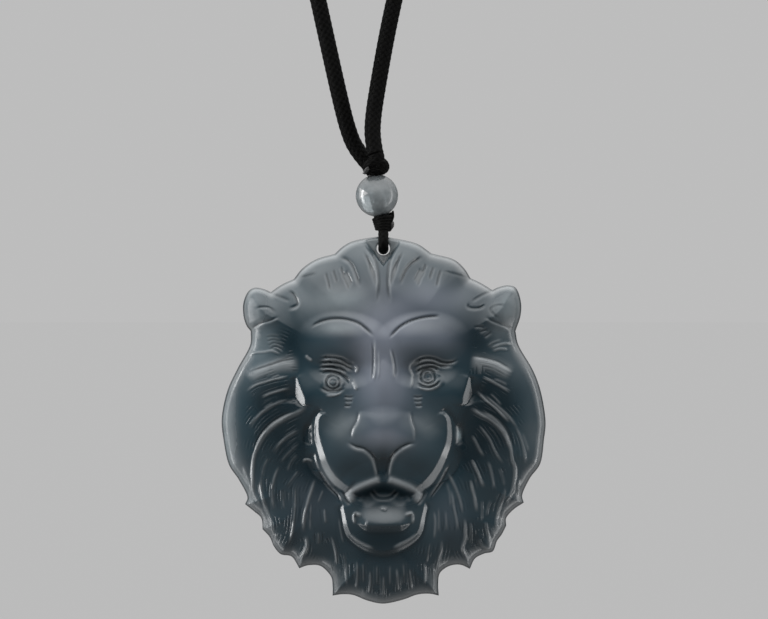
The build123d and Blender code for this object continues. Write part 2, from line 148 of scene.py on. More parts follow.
def curve_points(points: Sequence[Mark], steps: int) -> Array:
    """Samples a smooth curve through drawn points.

    Args:
        points: Points in order.
        steps: Samples to a span.

    Returns:
        The samples, ending on the last point.
    """
    marks = np.asarray(points, float)
    padded = np.vstack([2 * marks[0] - marks[1], marks, 2 * marks[-1] - marks[-2]])
    t = np.linspace(0.0, 1.0, steps, endpoint=False)[:, None]
    spans = []
    for a, b, c, d in zip(padded, padded[1:], padded[2:], padded[3:]):
        bend = 2 * a - 5 * b + 4 * c - d
        twist = 3 * b - a - 3 * c + d
        spans.append(0.5 * (2 * b + (c - a) * t + bend * t**2 + twist * t**3))
    spans.append(marks[-1:])
    return np.vstack(spans)


def nearest(x: Array, y: Array, path: Array) -> tuple[Array, Array, Array]:
    """Measures drawn places against a drawn line.

    Args:
        x: Places' distances across.
        y: Places' distances down.
        path: Points of the line.

    Returns:
        Distance to the line, side of it (+1 or -1) and share of its length.
    """
    best = np.full(x.shape, np.inf)
    side = np.zeros(x.shape)
    along = np.zeros(x.shape)
    steps = np.diff(path, axis=0)
    lengths = np.maximum(np.hypot(steps[:, 0], steps[:, 1]), 1e-9)
    starts = np.concatenate([[0.0], np.cumsum(lengths)])
    for start, step, length, before in zip(path, steps, lengths, starts):
        dx, dy = x - start[0], y - start[1]
        t = np.clip((dx * step[0] + dy * step[1]) / length**2, 0.0, 1.0)
        ex, ey = dx - t * step[0], dy - t * step[1]
        gap = np.hypot(ex, ey)
        closer = gap < best
        best = np.where(closer, gap, best)
        side = np.where(closer, np.sign(step[0] * ey - step[1] * ex), side)
        along = np.where(closer, (before + t * length) / starts[-1], along)
    return best, side, along


class Sides(Enum):
    """Halves of the face that a drawn row is cut on."""

    HERE = (1,)
    BOTH = (1, -1)


@dataclass(frozen=True)
class Form:
    """A raised or sunk form of the face, in drawing units."""

    name: str
    sides: Sides
    x: float
    y: float
    half_width: float
    half_length: float
    turn: float
    rise_mm: float
    squareness: float = 2.0
    softness: float = 1.0


@dataclass(frozen=True)
class Cut:
    """How a stroke is cut: sizes in drawing units, heights in mm."""

    width: float
    groove_mm: float
    step_mm: float = 0.0
    reach: float = 10.0
    fade: float = 0.12


@dataclass(frozen=True)
class Stroke:
    """A drawn stroke and its cut. A step above zero lifts the side on the right hand."""

    cut: Cut
    points: tuple[Mark, ...]


@dataclass(frozen=True)
class Wall:
    """A polished bevel that drops from a drawn crest. Side 1 drops to the left hand, -1 to the right.

    The lift is the share of its height that stands up from the surface, and the
    rest is sunk beside its foot. The ledge is the slope of the ground beyond its
    foot. Fade and tip are the shares of its length in which it levels and ends.
    """

    side: int
    lift: float
    start_width: float
    end_width: float
    slope: float
    reach: float
    points: tuple[Mark, ...]
    bulge: float = 1.5
    ledge: float = 1.0
    fade: float = 0.5
    tip: float = 0.05


@dataclass(frozen=True)
class Zone:
    """A soft patch that darkens, greys or pales the stone or dulls its polish, as shares of dark, mauve, pale and
    unpolished stone: some are the stone's own colour, some painted shade and some painted highlights.
    """

    x: float
    y: float
    half_width: float
    half_length: float
    turn: float
    dark: float = 0.0
    mauve: float = 0.0
    pale: float = 0.0
    dull: float = 0.0


@dataclass(frozen=True)
class Comb:
    """Fine hairs that run between two drawn strokes."""

    count: int
    first: tuple[Mark, ...]
    last: tuple[Mark, ...]
    width: float = 1.0
    groove_mm: float = 0.1


def turned(x: Array, y: Array, oval: Form | Zone) -> tuple[Array, Array]:
    """Measures drawn places against a turned oval.

    Args:
        x: Places' distances across.
        y: Places' distances down.
        oval: The form or zone whose oval it is.

    Returns:
        Distances from its middle, as shares of its half width and half length.
    """
    turn = math.radians(oval.turn)
    dx, dy = x - oval.x, y - oval.y
    u = (dx * math.cos(turn) + dy * math.sin(turn)) / oval.half_width
    v = (dy * math.cos(turn) - dx * math.sin(turn)) / oval.half_length
    return u, v


def drawn(*rows: tuple) -> tuple[Stroke, ...]:
    """Makes strokes of a table's rows, each a cut and then its points."""
    return tuple(Stroke(row[0], row[1:]) for row in rows)


# Outline of the head on the drawing, clockwise from the middle of the top, as
# runs that start and end on a tip or a notch.
OUTLINE_RUNS: tuple[tuple[Mark, ...], ...] = (
    ((335, 253.8), (343, 246.5), (352, 241.5), (366, 238.2), (382.5, 236.4), (394, 238.2),
     (406, 240.5), (419, 244.5), (431.5, 253.4)),
    ((431.5, 253.4), (453, 259), (464, 268), (470.5, 278)),
    ((470.5, 278), (481, 283), (492.5, 290)),
    ((492.5, 290), (499, 287), (508.5, 285.2), (516.5, 288.5), (521, 302), (520.5, 316),
     (515.5, 331)),
    ((515.5, 331), (519, 346), (533, 370), (541, 392), (545.6, 420), (544, 440),
     (540.5, 463), (530, 478), (522.5, 494), (523.8, 502.5)),
    ((523.8, 502.5), (514, 509), (506.5, 517.5), (506.3, 525.5)),
    ((506.3, 525.5), (502, 534), (497, 541), (493, 551), (484, 553.5), (475, 558.5),
     (470, 568.6)),
    ((470, 568.6), (460, 564.5), (449, 566), (440, 573), (438.3, 584), (438.9, 595.3)),
    ((438.9, 595.3), (429, 593.5), (417, 594.5), (403, 599.5), (384, 603.4), (368, 600.5),
     (354, 595), (343, 594), (332.8, 595.3)),
    ((332.8, 595.3), (332.8, 586.1), (331, 576), (321, 566), (309, 565), (299.5, 568)),
    ((299.5, 568), (292, 556.5), (281, 554), (274, 546), (270, 537), (262.8, 529)),
    ((262.8, 529), (261.5, 518), (254, 511), (245.3, 504)),
    ((245.3, 504), (247.5, 496), (239, 479.5), (229, 464), (224, 441), (222, 418),
     (227.5, 391), (238, 368), (250, 346), (251, 331)),
    ((251, 331), (246.5, 325), (243.6, 315), (243.6, 303), (248, 292), (255, 287.6),
     (264, 289), (271, 292)),
    ((271, 292), (282, 284.5), (294, 279)),
    ((294, 279), (303, 268), (317, 259), (335, 253.8)),
)

FORMS: tuple[Form, ...] = (
    Form("face", Sides.HERE, 383.5, 392, 108, 155, 0, 2.4, 2.2, 2.0),
    Form("forehead", Sides.HERE, 383.5, 300, 84, 54, 0, 0.9, 2.0, 1.6),
    Form("bridge", Sides.HERE, 383.5, 360, 20, 60, 0, 0.45, 2.0, 1.8),
    Form("nose", Sides.HERE, 383.5, 414, 46, 76, 0, 1.5, 2.0, 2.0),
    Form("nose_tip", Sides.HERE, 383.5, 432, 40, 30, 0, 1.1, 2.0, 2.0),
    Form("philtrum", Sides.HERE, 383.5, 466, 9, 20, 0, -0.35, 2.0, 2.0),
    Form("jaw", Sides.HERE, 384, 505, 47, 47, 0, 1.0, 2.4, 1.2),
    Form("mouth", Sides.HERE, 384.5, 500, 34, 21, 0, -1.0, 2.0, 1.6),
    Form("brow", Sides.BOTH, 345, 340, 48, 30, 4, 1.5, 2.0, 1.8),
    Form("socket", Sides.BOTH, 342, 371, 34, 17, 6, -0.8, 2.0, 1.8),
    Form("eyeball", Sides.BOTH, 335, 380, 13, 8, 0, 0.6, 2.0, 1.2),
    Form("cheekbone", Sides.BOTH, 322, 396, 36, 34, 10, 0.7, 2.0, 2.0),
    Form("muzzle", Sides.BOTH, 345, 448, 36, 50, -25, 1.5, 2.0, 2.0),
    Form("ear", Sides.BOTH, 262, 308, 24, 25, 0, 0.5, 2.0, 1.6),
    Form("ear_cup", Sides.BOTH, 264, 311, 15, 13, 0, -0.16, 2.0, 2.0),
)

WALLS: tuple[Wall, ...] = (
    # outer sides of the cheekbones
    Wall(-1, 0.2, 2, 9.5, 1.0, 24, ((297.5, 374), (301.5, 385), (306.5, 398), (306.5, 406)), 1.5, 1.0, 0.5, 0.1),
    Wall(1, 0.2, 3, 9, 1.0, 24, ((468, 374), (465, 385), (461.5, 397), (461.5, 405)), 1.5, 1.0, 0.5, 0.1),
    # outer sides of the muzzle
    Wall(-1, 0.3, 4.2, 9.5, 1.0, 26, ((327, 410), (321, 417), (320, 428), (321.5, 438), (325.5, 451), (330, 463),
                                      (336.5, 473), (344, 480), (353, 486)), 1.5, 0.5),
    Wall(1, 0.3, 4.5, 9.5, 1.0, 26, ((438, 410), (444.5, 417), (446, 428), (445, 440), (440.5, 452), (434, 465),
                                     (425, 477), (414, 486)), 1.5, 0.5),
    # sides of the jaw
    Wall(-1, 0.4, 4, 4, 1.0, 24, ((344, 500), (346, 512), (350, 528), (358, 537), (370, 545), (383.5, 548.5),
                                  (396, 545), (409, 537), (417.5, 528), (421.5, 512), (424.5, 498))),
    # short facets beside the muzzle
    Wall(-1, 0.0, 3.4, 3.2, 1.0, 7, ((313.4, 421), (312.2, 432), (313.4, 445)), 1.5, 0.4, 0.5, 0.3),
    Wall(-1, 0.0, 2.8, 2.6, 1.0, 7, ((316.3, 450), (318, 459), (321.4, 469)), 1.5, 0.4, 0.5, 0.3),
    Wall(1, 0.0, 3.4, 3.2, 1.0, 7, ((454.6, 421), (455.6, 432), (454.6, 445)), 1.5, 0.4, 0.5, 0.3),
    # upper edge of the mouth and edge of the lower lip
    Wall(-1, 0.1, 7, 7, 1.2, 14, ((353, 491), (361, 486.5), (371, 482), (384, 480), (397, 482), (408, 486.5),
                                  (416, 491)), 1.5, 1.2, 0.2),
    Wall(-1, 1.0, 6, 6, 1.0, 22, ((354, 520), (362, 521.6), (372, 522.3), (384, 522.5), (396, 522.3),
                                  (406, 521.6), (414, 520)), 1.3, 1.0, 0.3, 0.25),
)

LID = Cut(0.8, -0.24)
STROKES = drawn(
    # parting and top locks
    (Cut(1.2, 0.2, 0.21, 9), (363, 242), (372, 253), (377, 266), (379, 285), (377, 305)),
    (Cut(1.2, 0.2, -0.21, 9), (400, 242), (393, 253), (389, 266), (388, 285), (390, 305)),
    (Cut(1.3, 0.26, 0.16, 12), (338, 256), (350, 262), (356, 273), (361, 288)),
    (Cut(1.3, 0.34, 0.16, 12), (424, 256), (411, 264), (404, 274), (400, 286)),
    (Cut(1, 0.12, -0.1), (297, 277), (306, 276), (318, 273)),
    (Cut(1, 0.12, 0.1), (470, 277), (459, 275), (440, 270)),
    # brows and bridge
    (Cut(0.9, 0.42, 0.12, 10, 0.08), (311, 327.5), (319, 322.5), (331, 319), (345, 319), (358, 322.5),
     (367, 329), (375, 337)),
    (Cut(0.9, 0.42, 0.1, 10, 0.08), (389, 338), (398, 328), (410, 321), (425, 317), (441, 316)),
    (Cut(0.9, -0.26), (374.5, 337), (375.5, 350), (375.5, 366), (374, 381)),
    (Cut(0.9, 0.2), (372.4, 340), (373.4, 352), (373.2, 368), (372, 380)),
    (Cut(0.9, -0.2), (378.5, 348), (379, 362), (378.5, 379)),
    (Cut(0.9, -0.24), (389.5, 347), (392, 358), (393.5, 368), (393.5, 379)),
    (Cut(0.9, 0.18), (391.6, 347), (394.2, 358), (395.7, 368), (395.7, 378)),
    # left eye
    (Cut(1.1, 0.34, 0, 8), (320, 357.5), (332, 356.5), (342, 358.5), (349, 363), (357, 365)),
    (Cut(1.1, 0.4, 0, 8), (319, 362.5), (331, 361.5), (342, 363), (349, 366.5), (356, 370)),
    (Cut(1.1, 0.38, 0, 8), (319, 367), (330, 366), (341, 368), (349, 372.5)),
    (Cut(1.2, 0.42, 0, 8), (319, 372), (329, 370.5), (340, 373), (347, 377), (351, 384)),
    (Cut(1.1, 0.36, 0, 8), (321, 385), (328, 389.5), (337, 390), (346, 387)),
    (LID, (321, 360), (332, 359), (341, 360.7), (348, 364.6), (355, 367.5)),
    (LID, (320, 364.7), (331, 363.7), (342, 365.3), (349, 369.5), (355, 371.5)),
    (LID, (322, 369.6), (331, 368.4), (341, 370.6), (348, 375)),
    (LID, (326, 394), (334, 394.4), (343, 391.5)),
    # right eye
    (Cut(1.1, 0.42, 0, 8), (459, 357), (452, 361.5), (443, 362), (434, 358.5), (424, 357.5), (414, 362), (407, 366)),
    (Cut(1.1, 0.34, 0, 8), (454, 365), (441, 365), (431, 362), (420, 363.5), (411, 368)),
    (Cut(1.1, 0.4, 0, 8), (440, 370), (432, 366.5), (422, 368), (414, 373)),
    (Cut(1.1, 0.38, 0, 8), (441, 379), (434, 384.5), (426, 386), (416, 382)),
    (Cut(1, -0.3), (420, 359.5), (411.5, 363), (409.5, 368), (412, 375), (411.5, 382), (409.5, 389)),
    (LID, (448, 364.3), (438, 362.8), (431, 360), (423, 360.6), (414, 364.6)),
    (LID, (442, 367.8), (432, 364.4), (422, 365.6), (414, 370.3)),
    (LID, (440, 383), (432, 387.6), (424, 388), (416, 385)),
    # tear folds and the outer corner of the left brow
    (Cut(1.1, -0.32), (353, 378.5), (354.5, 383), (357.5, 389.5)),
    (Cut(1, -0.28), (355, 365), (358, 368), (356, 372)),
    (Cut(0.9, -0.28), (306.5, 354), (308.5, 357), (313.5, 360.5)),
    # sides of the nose and nostrils
    (Cut(1.2, 0.1, -0.24, 12), (359, 408), (357.5, 418), (352.5, 428), (350.5, 438)),
    (Cut(1.2, 0.1, 0.16, 12), (411, 408), (412, 418), (415, 428), (416, 440)),
    (Cut(1.5, 0.26, 0.3), (347, 438), (356, 444), (366, 447), (374, 455), (378, 466), (379, 478)),
    (Cut(1.5, 0.26, -0.3), (417, 440), (405, 443), (395, 450), (389, 460), (387, 470), (387, 478)),
    # upper lip
    (Cut(3.2, -0.3, 0, 8, 0.05), (381, 476), (370, 480.5), (358, 485.5), (352, 490), (351.5, 501)),
    (Cut(3.2, -0.3, 0, 8, 0.05), (387, 476), (399, 480.5), (411, 485.5), (417, 490), (417, 501)),
    # tongue
    (Cut(1.1, 0.3, 0, 8, 0.05), (371, 488), (378, 495.5), (390, 495.5), (398, 488)),
    (Cut(1.1, -0.3), (362.5, 513.5), (354.5, 512), (355.2, 522)),
    (Cut(1.1, -0.3), (404, 513), (412, 511.5), (412.6, 522)),
    (Cut(1.2, -0.3), (380.5, 507), (383.5, 506.4), (387, 508)),
    (Cut(0.9, -0.18), (367, 518), (367, 524)),
    # corners of the mouth
    (Cut(1.2, 0.24), (343, 489), (347, 497), (352, 503)),
    (Cut(1.1, 0.24), (425, 489), (421, 497), (416, 503)),
    # folds beside the muzzle
    (Cut(0.7, 0.12), (316.4, 420), (314.9, 428), (315.2, 438), (317.2, 447)),
    (Cut(0.7, 0.12), (313, 424), (311.6, 432), (312.6, 445)),
    # rim of the hole
    (Cut(1.1, -0.3, 0, 8, 0.1), (375.8, 251), (378, 255.5), (383.5, 257.8), (389, 255.5), (391.2, 251)),
    # folds below the muzzle
    (Cut(1.1, 0.24, -0.12, 8), (318, 466), (322.5, 474.5), (328, 483), (333.5, 489), (339, 495), (342, 504)),
    (Cut(1.1, 0.24, 0.12, 8), (450.5, 461), (446, 470), (441, 480), (435, 489), (428, 499)),
    (Cut(1, -0.2), (303, 460), (308, 458), (314, 460)),
    # lines down to the point of the chin
    (Cut(1.4, -0.2, 0, 8), (348, 531), (360, 540), (375, 547)),
    (Cut(1.4, -0.2, 0, 8), (419, 530), (408, 538), (392, 546)),
    # ears
    (Cut(1, 0.18, 0.18, 8), (251, 329), (262, 323), (272, 320), (280, 316)),
    (Cut(1, 0.2, 0, 8), (272, 293), (281, 297), (292, 301)),
    (Cut(1.2, 0.24, -0.18, 8), (287, 290), (294, 294), (298, 301), (297, 306), (288, 309)),
    (Cut(1, 0.18, 0.12, 8), (256, 308), (264, 307), (271, 308), (276, 314)),
    (Cut(1, 0.13, -0.18, 8), (516, 331), (505, 326), (492, 321), (484, 316)),
    (Cut(1, 0.2, 0, 8), (493, 290), (482, 295), (470, 302)),
    (Cut(1.1, 0.22, 0, 8), (470, 302), (468, 307), (478, 308), (486, 304)),
    (Cut(1, 0.15, 0, 8), (506, 306), (497, 305), (490, 309), (494, 315), (500, 319)),
)

FAINT = Cut(0.9, -0.09)
LINE = Cut(1.0, -0.16)
STRONG = Cut(1.2, -0.24)
EDGE = Cut(1.1, 0.14, -0.16, 9)
EDGE_BACK = Cut(1.1, 0.14, 0.16, 9)
ROLL = Cut(1.7, -0.17, 0, 8, 0.08)
BROAD_ROLL = Cut(5.5, -0.24, 0, 8, 0.1)

# Strokes between the locks of the mane, which fine hairs follow.
LOCKS = drawn(
    # upper locks, left and right
    (LINE, (247, 355.5), (256, 352.5), (265, 351.8), (273, 350.5), (282, 354.5)),
    (BROAD_ROLL, (247, 379), (258, 373), (270, 368.5), (284, 364.5), (302, 364)),
    (EDGE, (250, 372), (261, 368), (272, 364.5), (284, 360.5), (297, 358.5)),
    (BROAD_ROLL, (468, 361), (482, 362.5), (493, 365), (503, 370), (513, 375)),
    (EDGE_BACK, (470, 355.5), (483, 357.5), (496, 361), (506, 366.5), (513, 371)),
    (LINE, (489, 349), (496, 345.5), (504, 343.5), (512, 344)),
    (LINE, (491, 351), (499, 348.5), (508, 349.5)),
    (FAINT, (486, 347), (493, 342), (502, 339.5)),
    # left outer locks
    (LINE, (247, 392), (252, 387.5), (258, 384), (265, 381.8), (274, 379), (283, 377), (290.5, 375)),
    (FAINT, (272, 377.5), (276, 376), (281, 374.5)),
    (LINE, (262, 397), (270, 393.3), (278, 390.8), (285, 388.8), (292, 387.3)),
    (LINE, (250, 428), (255, 420), (262, 412.5), (270, 407), (277, 403), (284, 400.3), (291, 398.3)),
    (FAINT, (265, 408.5), (270, 405), (275, 402.5)),
    # left main lock
    (ROLL, (309, 404.5), (299, 411), (288, 416.5), (277, 423), (268, 431), (261, 441), (257, 452)),
    (EDGE, (296, 409.5), (286, 413.5), (274, 420.5), (265, 429), (258, 440), (255, 452)),
    (STRONG, (264, 433), (260.5, 440), (257.5, 448), (255, 456), (253.8, 466), (253.3, 478), (253.3, 488),
     (255.5, 495), (259.5, 500), (263, 505)),
    # left inner locks
    (LINE, (301, 427.5), (294, 432), (287, 436.5), (280, 443), (274, 452)),
    (FAINT, (301, 441), (293, 448), (286, 455), (281, 462)),
    (FAINT, (299, 452), (292, 460), (288, 470)),
    (LINE, (281, 463), (277.5, 470), (274.8, 478), (273.3, 488), (273.3, 497), (275, 510)),
    (FAINT, (270, 455), (265, 465), (262.5, 476)),
    (LINE, (263.5, 470), (262, 480), (262.3, 490), (265, 501), (269, 512), (272.5, 522), (273, 533), (271.5, 545)),
    (FAINT, (284, 487), (284, 497), (285, 508)),
    (LINE, (244, 463), (246.5, 472), (249.5, 480), (250.5, 489), (249, 498)),
    (STRONG, (261.5, 510), (264.5, 517), (264, 524), (262, 529)),
    (LINE, (277.5, 531), (275.5, 538), (272, 546)),
    (FAINT, (300, 468), (293, 477), (287, 486)),
    (LINE, (299.5, 480), (296.5, 487), (296, 500), (295, 514), (293.5, 528), (291, 538), (287, 547)),
    (STRONG, (316, 477), (312.5, 487), (309, 498), (306, 510), (304.5, 521), (304, 532)),
    (STRONG, (306, 533), (307.5, 541), (306, 549), (300, 560)),
    (FAINT, (297, 552), (297.5, 561)),
    (FAINT, (324, 488), (321, 495), (318.5, 501)),
    (LINE, (325, 506), (325.5, 514), (326.5, 522)),
    (FAINT, (312, 500), (311, 515), (311, 530)),
    (LINE, (318.5, 530), (319.3, 536), (319, 543)),
    (LINE, (331, 533), (334, 542), (336.5, 552), (337.5, 564)),
    (FAINT, (339.5, 515), (341, 528), (344, 542)),
    (FAINT, (343, 550), (346, 562), (346, 578)),
    (FAINT, (331, 562), (332, 570), (330.5, 578)),
    # right outer locks
    (LINE, (481, 376), (490, 380.3), (500, 385.8), (510, 392)),
    (FAINT, (479, 364), (478.5, 374)),
    (FAINT, (493, 378.5), (500, 381.2), (507, 385)),
    (STRONG, (475.5, 389), (481, 395.5), (488, 401.8), (495, 407.5), (502, 414.5), (510, 422)),
    (LINE, (483, 393.5), (489, 398.5), (496, 404.5), (504, 412), (511, 419.5), (518, 429)),
    (FAINT, (489, 392.5), (495, 398), (501, 405)),
    (LINE, (514, 424), (518.5, 433), (522, 443), (524, 454), (524.5, 464)),
    (FAINT, (521, 431), (524.5, 440), (528, 452)),
    # right main lock
    (ROLL, (469, 406), (480, 413.5), (490, 419), (499, 427), (505.5, 437), (509.5, 449)),
    (EDGE_BACK, (480, 408), (492, 414.5), (501, 423), (507.5, 433), (511, 447)),
    (STRONG, (503, 431), (507, 439), (510, 448), (511.5, 459), (514, 466), (514, 476), (512.5, 486), (510, 493),
     (506, 499), (503, 505)),
    # right inner locks
    (LINE, (477.5, 423), (484, 431), (489.5, 439), (493.5, 448), (498, 456), (503, 463)),
    (LINE, (470.5, 433), (475, 440), (479, 448), (483.5, 455.5)),
    (LINE, (486.5, 458), (489.5, 466), (491.8, 476), (494, 489)),
    (STRONG, (470.5, 457), (474.5, 465), (478.5, 474), (483.5, 487)),
    (STRONG, (469.5, 477), (471.5, 486), (474, 496), (476.5, 511)),
    (FAINT, (498, 466), (502, 476), (504, 486)),
    (LINE, (504.3, 484), (503.8, 493), (500.5, 501), (497.5, 510), (495.8, 520), (496.5, 533)),
    (FAINT, (490, 498), (487, 507), (486, 515)),
    (FAINT, (481, 498), (481.5, 508), (481, 520)),
    (LINE, (485, 519), (486.5, 529), (489.5, 542)),
    (FAINT, (491, 526), (493, 533), (495.5, 541)),
    (LINE, (477.5, 537), (480.5, 543), (485, 547), (491, 549)),
    (LINE, (518, 477), (518, 487), (519.5, 496), (522, 503)),
    (LINE, (503.5, 508), (503, 516), (504.5, 525)),
    (LINE, (446.5, 469), (451, 478), (456, 488), (460, 500), (462.5, 513)),
    (STRONG, (463.5, 515), (465, 525), (464.5, 537), (462.3, 547), (468, 559)),
    (LINE, (449.5, 486), (452, 495), (453.5, 505), (456, 517), (457.5, 530)),
    (FAINT, (446, 480), (449, 492), (450, 505)),
    (FAINT, (470, 520), (470.5, 532), (469, 543)),
    (LINE, (433.5, 508), (435, 520), (434, 538)),
    (FAINT, (438, 505), (438.5, 518), (438, 532)),
    (FAINT, (445, 508), (446, 520), (446, 530)),
    (LINE, (441.5, 537), (441, 547), (438, 559), (435.5, 572)),
    (FAINT, (430, 540), (428, 552), (426, 563)),
    # beard
    (LINE, (357, 558), (357.5, 573), (356.5, 589)),
    (FAINT, (363, 560), (363.5, 570), (363.5, 582)),
    (LINE, (370, 568), (370.5, 580), (369.5, 593)),
    (FAINT, (377, 562), (377, 572), (377, 584)),
    (LINE, (383.5, 573), (383.5, 585), (383.5, 598)),
    (FAINT, (390, 562), (390, 573), (390, 585)),
    (LINE, (396.5, 565), (397.5, 577), (398, 591)),
    (FAINT, (403, 560), (404, 572), (404, 584)),
    (LINE, (409.5, 566), (410.5, 577), (411.5, 589)),
    (FAINT, (347.5, 560), (347.5, 572), (347, 586)),
    (LINE, (424, 560), (425, 572), (424.5, 584)),
    (LINE, (433, 566), (434, 576), (434.5, 588)),
)

COMBS: tuple[Comb, ...] = (
    # hair on the top lobes
    Comb(4, ((364, 251), (369, 262), (372, 275)), ((371, 263), (375, 274), (376, 287)), 0.9, 0.22),
    Comb(4, ((403, 251), (398, 262), (395, 275)), ((396, 263), (392, 274), (391, 287)), 0.9, 0.22),
    Comb(3, ((326, 272), (329, 282), (331, 291)), ((341, 267), (343, 272), (345, 276)), 0.9, 0.28),
    Comb(3, ((342, 273), (347, 282), (350, 290)), ((346, 271), (350, 278), (353, 285)), 0.9, 0.28),
    Comb(3, ((441, 269), (438, 279), (436, 288)), ((426, 264), (424, 269), (422, 273)), 0.9, 0.28),
    Comb(3, ((425, 270), (420, 279), (417, 287)), ((421, 268), (417, 275), (414, 282)), 0.9, 0.28),
    # temples
    Comb(4, ((266, 337), (273, 336), (281, 337)), ((269, 350), (277, 346), (285, 351)), 0.9, 0.12),
    Comb(3, ((473, 327), (478, 326.5), (484, 327)), ((483, 337), (487, 334.5), (491, 331)), 1.0, 0.14),
)

ZONES: tuple[Zone, ...] = (
    # temples and the inner mane
    Zone(290, 340, 17, 22, 0, dark=0.9),
    Zone(476, 336, 19, 22, 0, dark=1.0),
    Zone(280, 402, 30, 20, 20, dark=1.1),
    Zone(490, 398, 26, 26, -30, dark=1.1),
    Zone(492, 402, 12, 7, 40, dark=0.4, dull=0.6),
    Zone(503, 436, 8, 16, -20, dark=0.3, dull=0.3),
    Zone(264, 432, 8, 14, 30, dark=0.3, dull=0.3),
    Zone(273, 398, 15, 14, 20, dull=0.7),
    Zone(496, 400, 16, 18, -30, dull=0.8),
    Zone(287, 404, 6, 3.5, 20, dark=1.0, dull=1.0),
    Zone(478, 399, 6, 3.5, 0, dark=1.0, dull=1.5),
    Zone(299, 444, 6, 4, 0, dark=0.8, dull=1.2),
    Zone(462, 446, 4, 3, 0, dark=1.0, dull=1.5),
    # painted highlight on the right facet beside the muzzle
    Zone(458.5, 433, 3.2, 8, 0, dark=-1.6, pale=1.0),
    Zone(298, 436, 16, 26, 0, dark=0.7),
    Zone(464, 440, 14, 26, 0, dark=0.75),
    Zone(318, 478, 14, 26, -30, dark=0.6),
    # eyes and the undersides of the brows, in painted shade
    Zone(346, 358, 26, 11, 10, dark=0.55),
    Zone(424, 356, 28, 11, -5, dark=0.6),
    Zone(335, 380, 18, 8, 0, dark=0.35),
    Zone(428, 376, 18, 8, 0, dark=0.4),
    # painted shade on the lower muzzle, in the mouth and under the chin, and a darker beard
    Zone(360, 468, 22, 12, 0, dark=0.55),
    Zone(412, 466, 22, 14, 0, dark=0.5),
    Zone(384, 460, 10, 16, 0, dark=0.7),
    Zone(384, 491, 32, 11, 0, dark=0.95, dull=1.2),
    Zone(384, 537, 30, 12, 0, dark=1.2, dull=0.6),
    Zone(384, 575, 50, 20, 0, dark=0.5),
    # rim where it is less polished, ear and beard
    Zone(231, 420, 6, 50, 0, dull=0.6),
    Zone(251, 338, 6, 14, 0, dull=0.6),
    Zone(252, 498, 5, 7, 0, dull=0.7),
    Zone(266, 520, 5, 10, 0, dull=0.7),
    Zone(339, 580, 7, 15, 0, dark=0.4, dull=0.9),
    Zone(431, 580, 6, 15, 0, dark=0.3, dull=0.6),
    Zone(262, 318, 10, 6, 0, pale=0.2),
    # painted shadow under the jaw
    Zone(384, 554, 44, 7, 0, dark=0.7),
    # lower locks
    Zone(290, 538, 14, 16, 0, dark=0.5),
    Zone(330, 545, 12, 18, 0, dark=0.35),
    Zone(474, 538, 12, 16, 0, dark=0.5),
    Zone(448, 543, 8, 14, 0, dark=0.4),
    # greyer, mauve stone, and painted reflections on the tops of the muzzle beside the nose
    Zone(385, 318, 40, 30, 0, mauve=0.9),
    Zone(384, 380, 26, 46, 0, mauve=0.9),
    Zone(384, 433, 20, 8, 0, mauve=0.4),
    Zone(384, 441, 26, 9, 0, mauve=0.35, pale=0.1),
    # painted reflections on the tops of the muzzle, beside the nose
    Zone(342, 424, 16, 16, 0, pale=0.35),
    Zone(426, 424, 16, 16, 0, pale=0.2),
    Zone(368, 356, 16, 18, 0, mauve=0.6),
    Zone(438, 334, 26, 18, 0, mauve=0.6),
    Zone(436, 298, 30, 16, 0, mauve=0.5),
    Zone(312, 495, 26, 28, 0, mauve=0.2),
    Zone(450, 515, 18, 24, 0, mauve=0.16),
    # darker body of the mane
    Zone(284, 445, 34, 60, 0, dark=0.8),
    Zone(484, 445, 34, 60, 0, dark=0.8),
    Zone(300, 525, 34, 22, 0, dark=0.35),
    Zone(468, 525, 34, 22, 0, dark=0.35),
    # top, ears, brows, mouth and rim: pale stone and the darker between, with painted reflections on the forehead,
    # brows and lower lip and a painted highlight on the muzzle's left bevel
    Zone(384, 246, 60, 14, 0, pale=0.3),
    Zone(314, 270, 24, 12, -30, pale=0.25),
    Zone(430, 262, 34, 16, 20, dark=0.3),
    Zone(344, 279, 22, 9, 0, dark=0.3),
    Zone(369, 282, 8, 16, 0, dark=0.3),
    Zone(440, 276, 22, 7, 10, dark=0.25),
    Zone(396, 276, 8, 12, 0, dark=0.2),
    Zone(262, 341, 17, 15, 0, dark=-0.3, pale=0.32),
    Zone(500, 333, 15, 15, 0, dark=-0.4, pale=0.24),
    # painted highlight on the muzzle's left bevel
    Zone(330, 473, 4.5, 13, -35, dark=-0.4, pale=0.5),
    Zone(257, 308, 10, 16, 0, dull=0.6),
    Zone(507, 309, 13, 14, 0, pale=0.5, dull=0.7),
    # painted reflection on the lower lip
    Zone(384, 513, 26, 8, 0, pale=0.25),
    Zone(256, 300, 16, 18, 0, pale=0.35),
    Zone(510, 298, 13, 18, 0, pale=0.2),
    # painted reflections on the forehead and on the tops of the brows
    Zone(345, 300, 34, 16, 0, pale=0.6),
    Zone(340, 328, 24, 7, 0, pale=0.5),
    Zone(425, 326, 20, 7, 0, pale=0.15),
    Zone(229, 430, 8, 46, 0, pale=0.5),
    Zone(244, 478, 8, 26, -20, pale=0.4),
    Zone(531, 430, 12, 40, 0, pale=0.15),
)

# Rings cut round each pupil, as centre, radius and cut.
IRIS_RING = Cut(1.1, 0.4, 0, 8, 0)
PUPIL_RING = Cut(0.8, 0.25, 0, 8, 0)
EYE_RINGS: tuple[tuple[Mark, float, Cut], ...] = (
    ((334, 381), 6.8, IRIS_RING),
    ((427.5, 375.8), 6.8, IRIS_RING),
    ((334, 381), 3.6, PUPIL_RING),
    ((427.5, 375.8), 3.6, PUPIL_RING),
)

# Wrinkles under each eye: a height on the drawing and two ends across it.
WRINKLE = Cut(0.9, 0.2)
TEAR_WRINKLES: tuple[tuple[float, float, float], ...] = (
    (395, 344, 355),
    (399, 345, 354),
    (403.5, 345, 352),
)


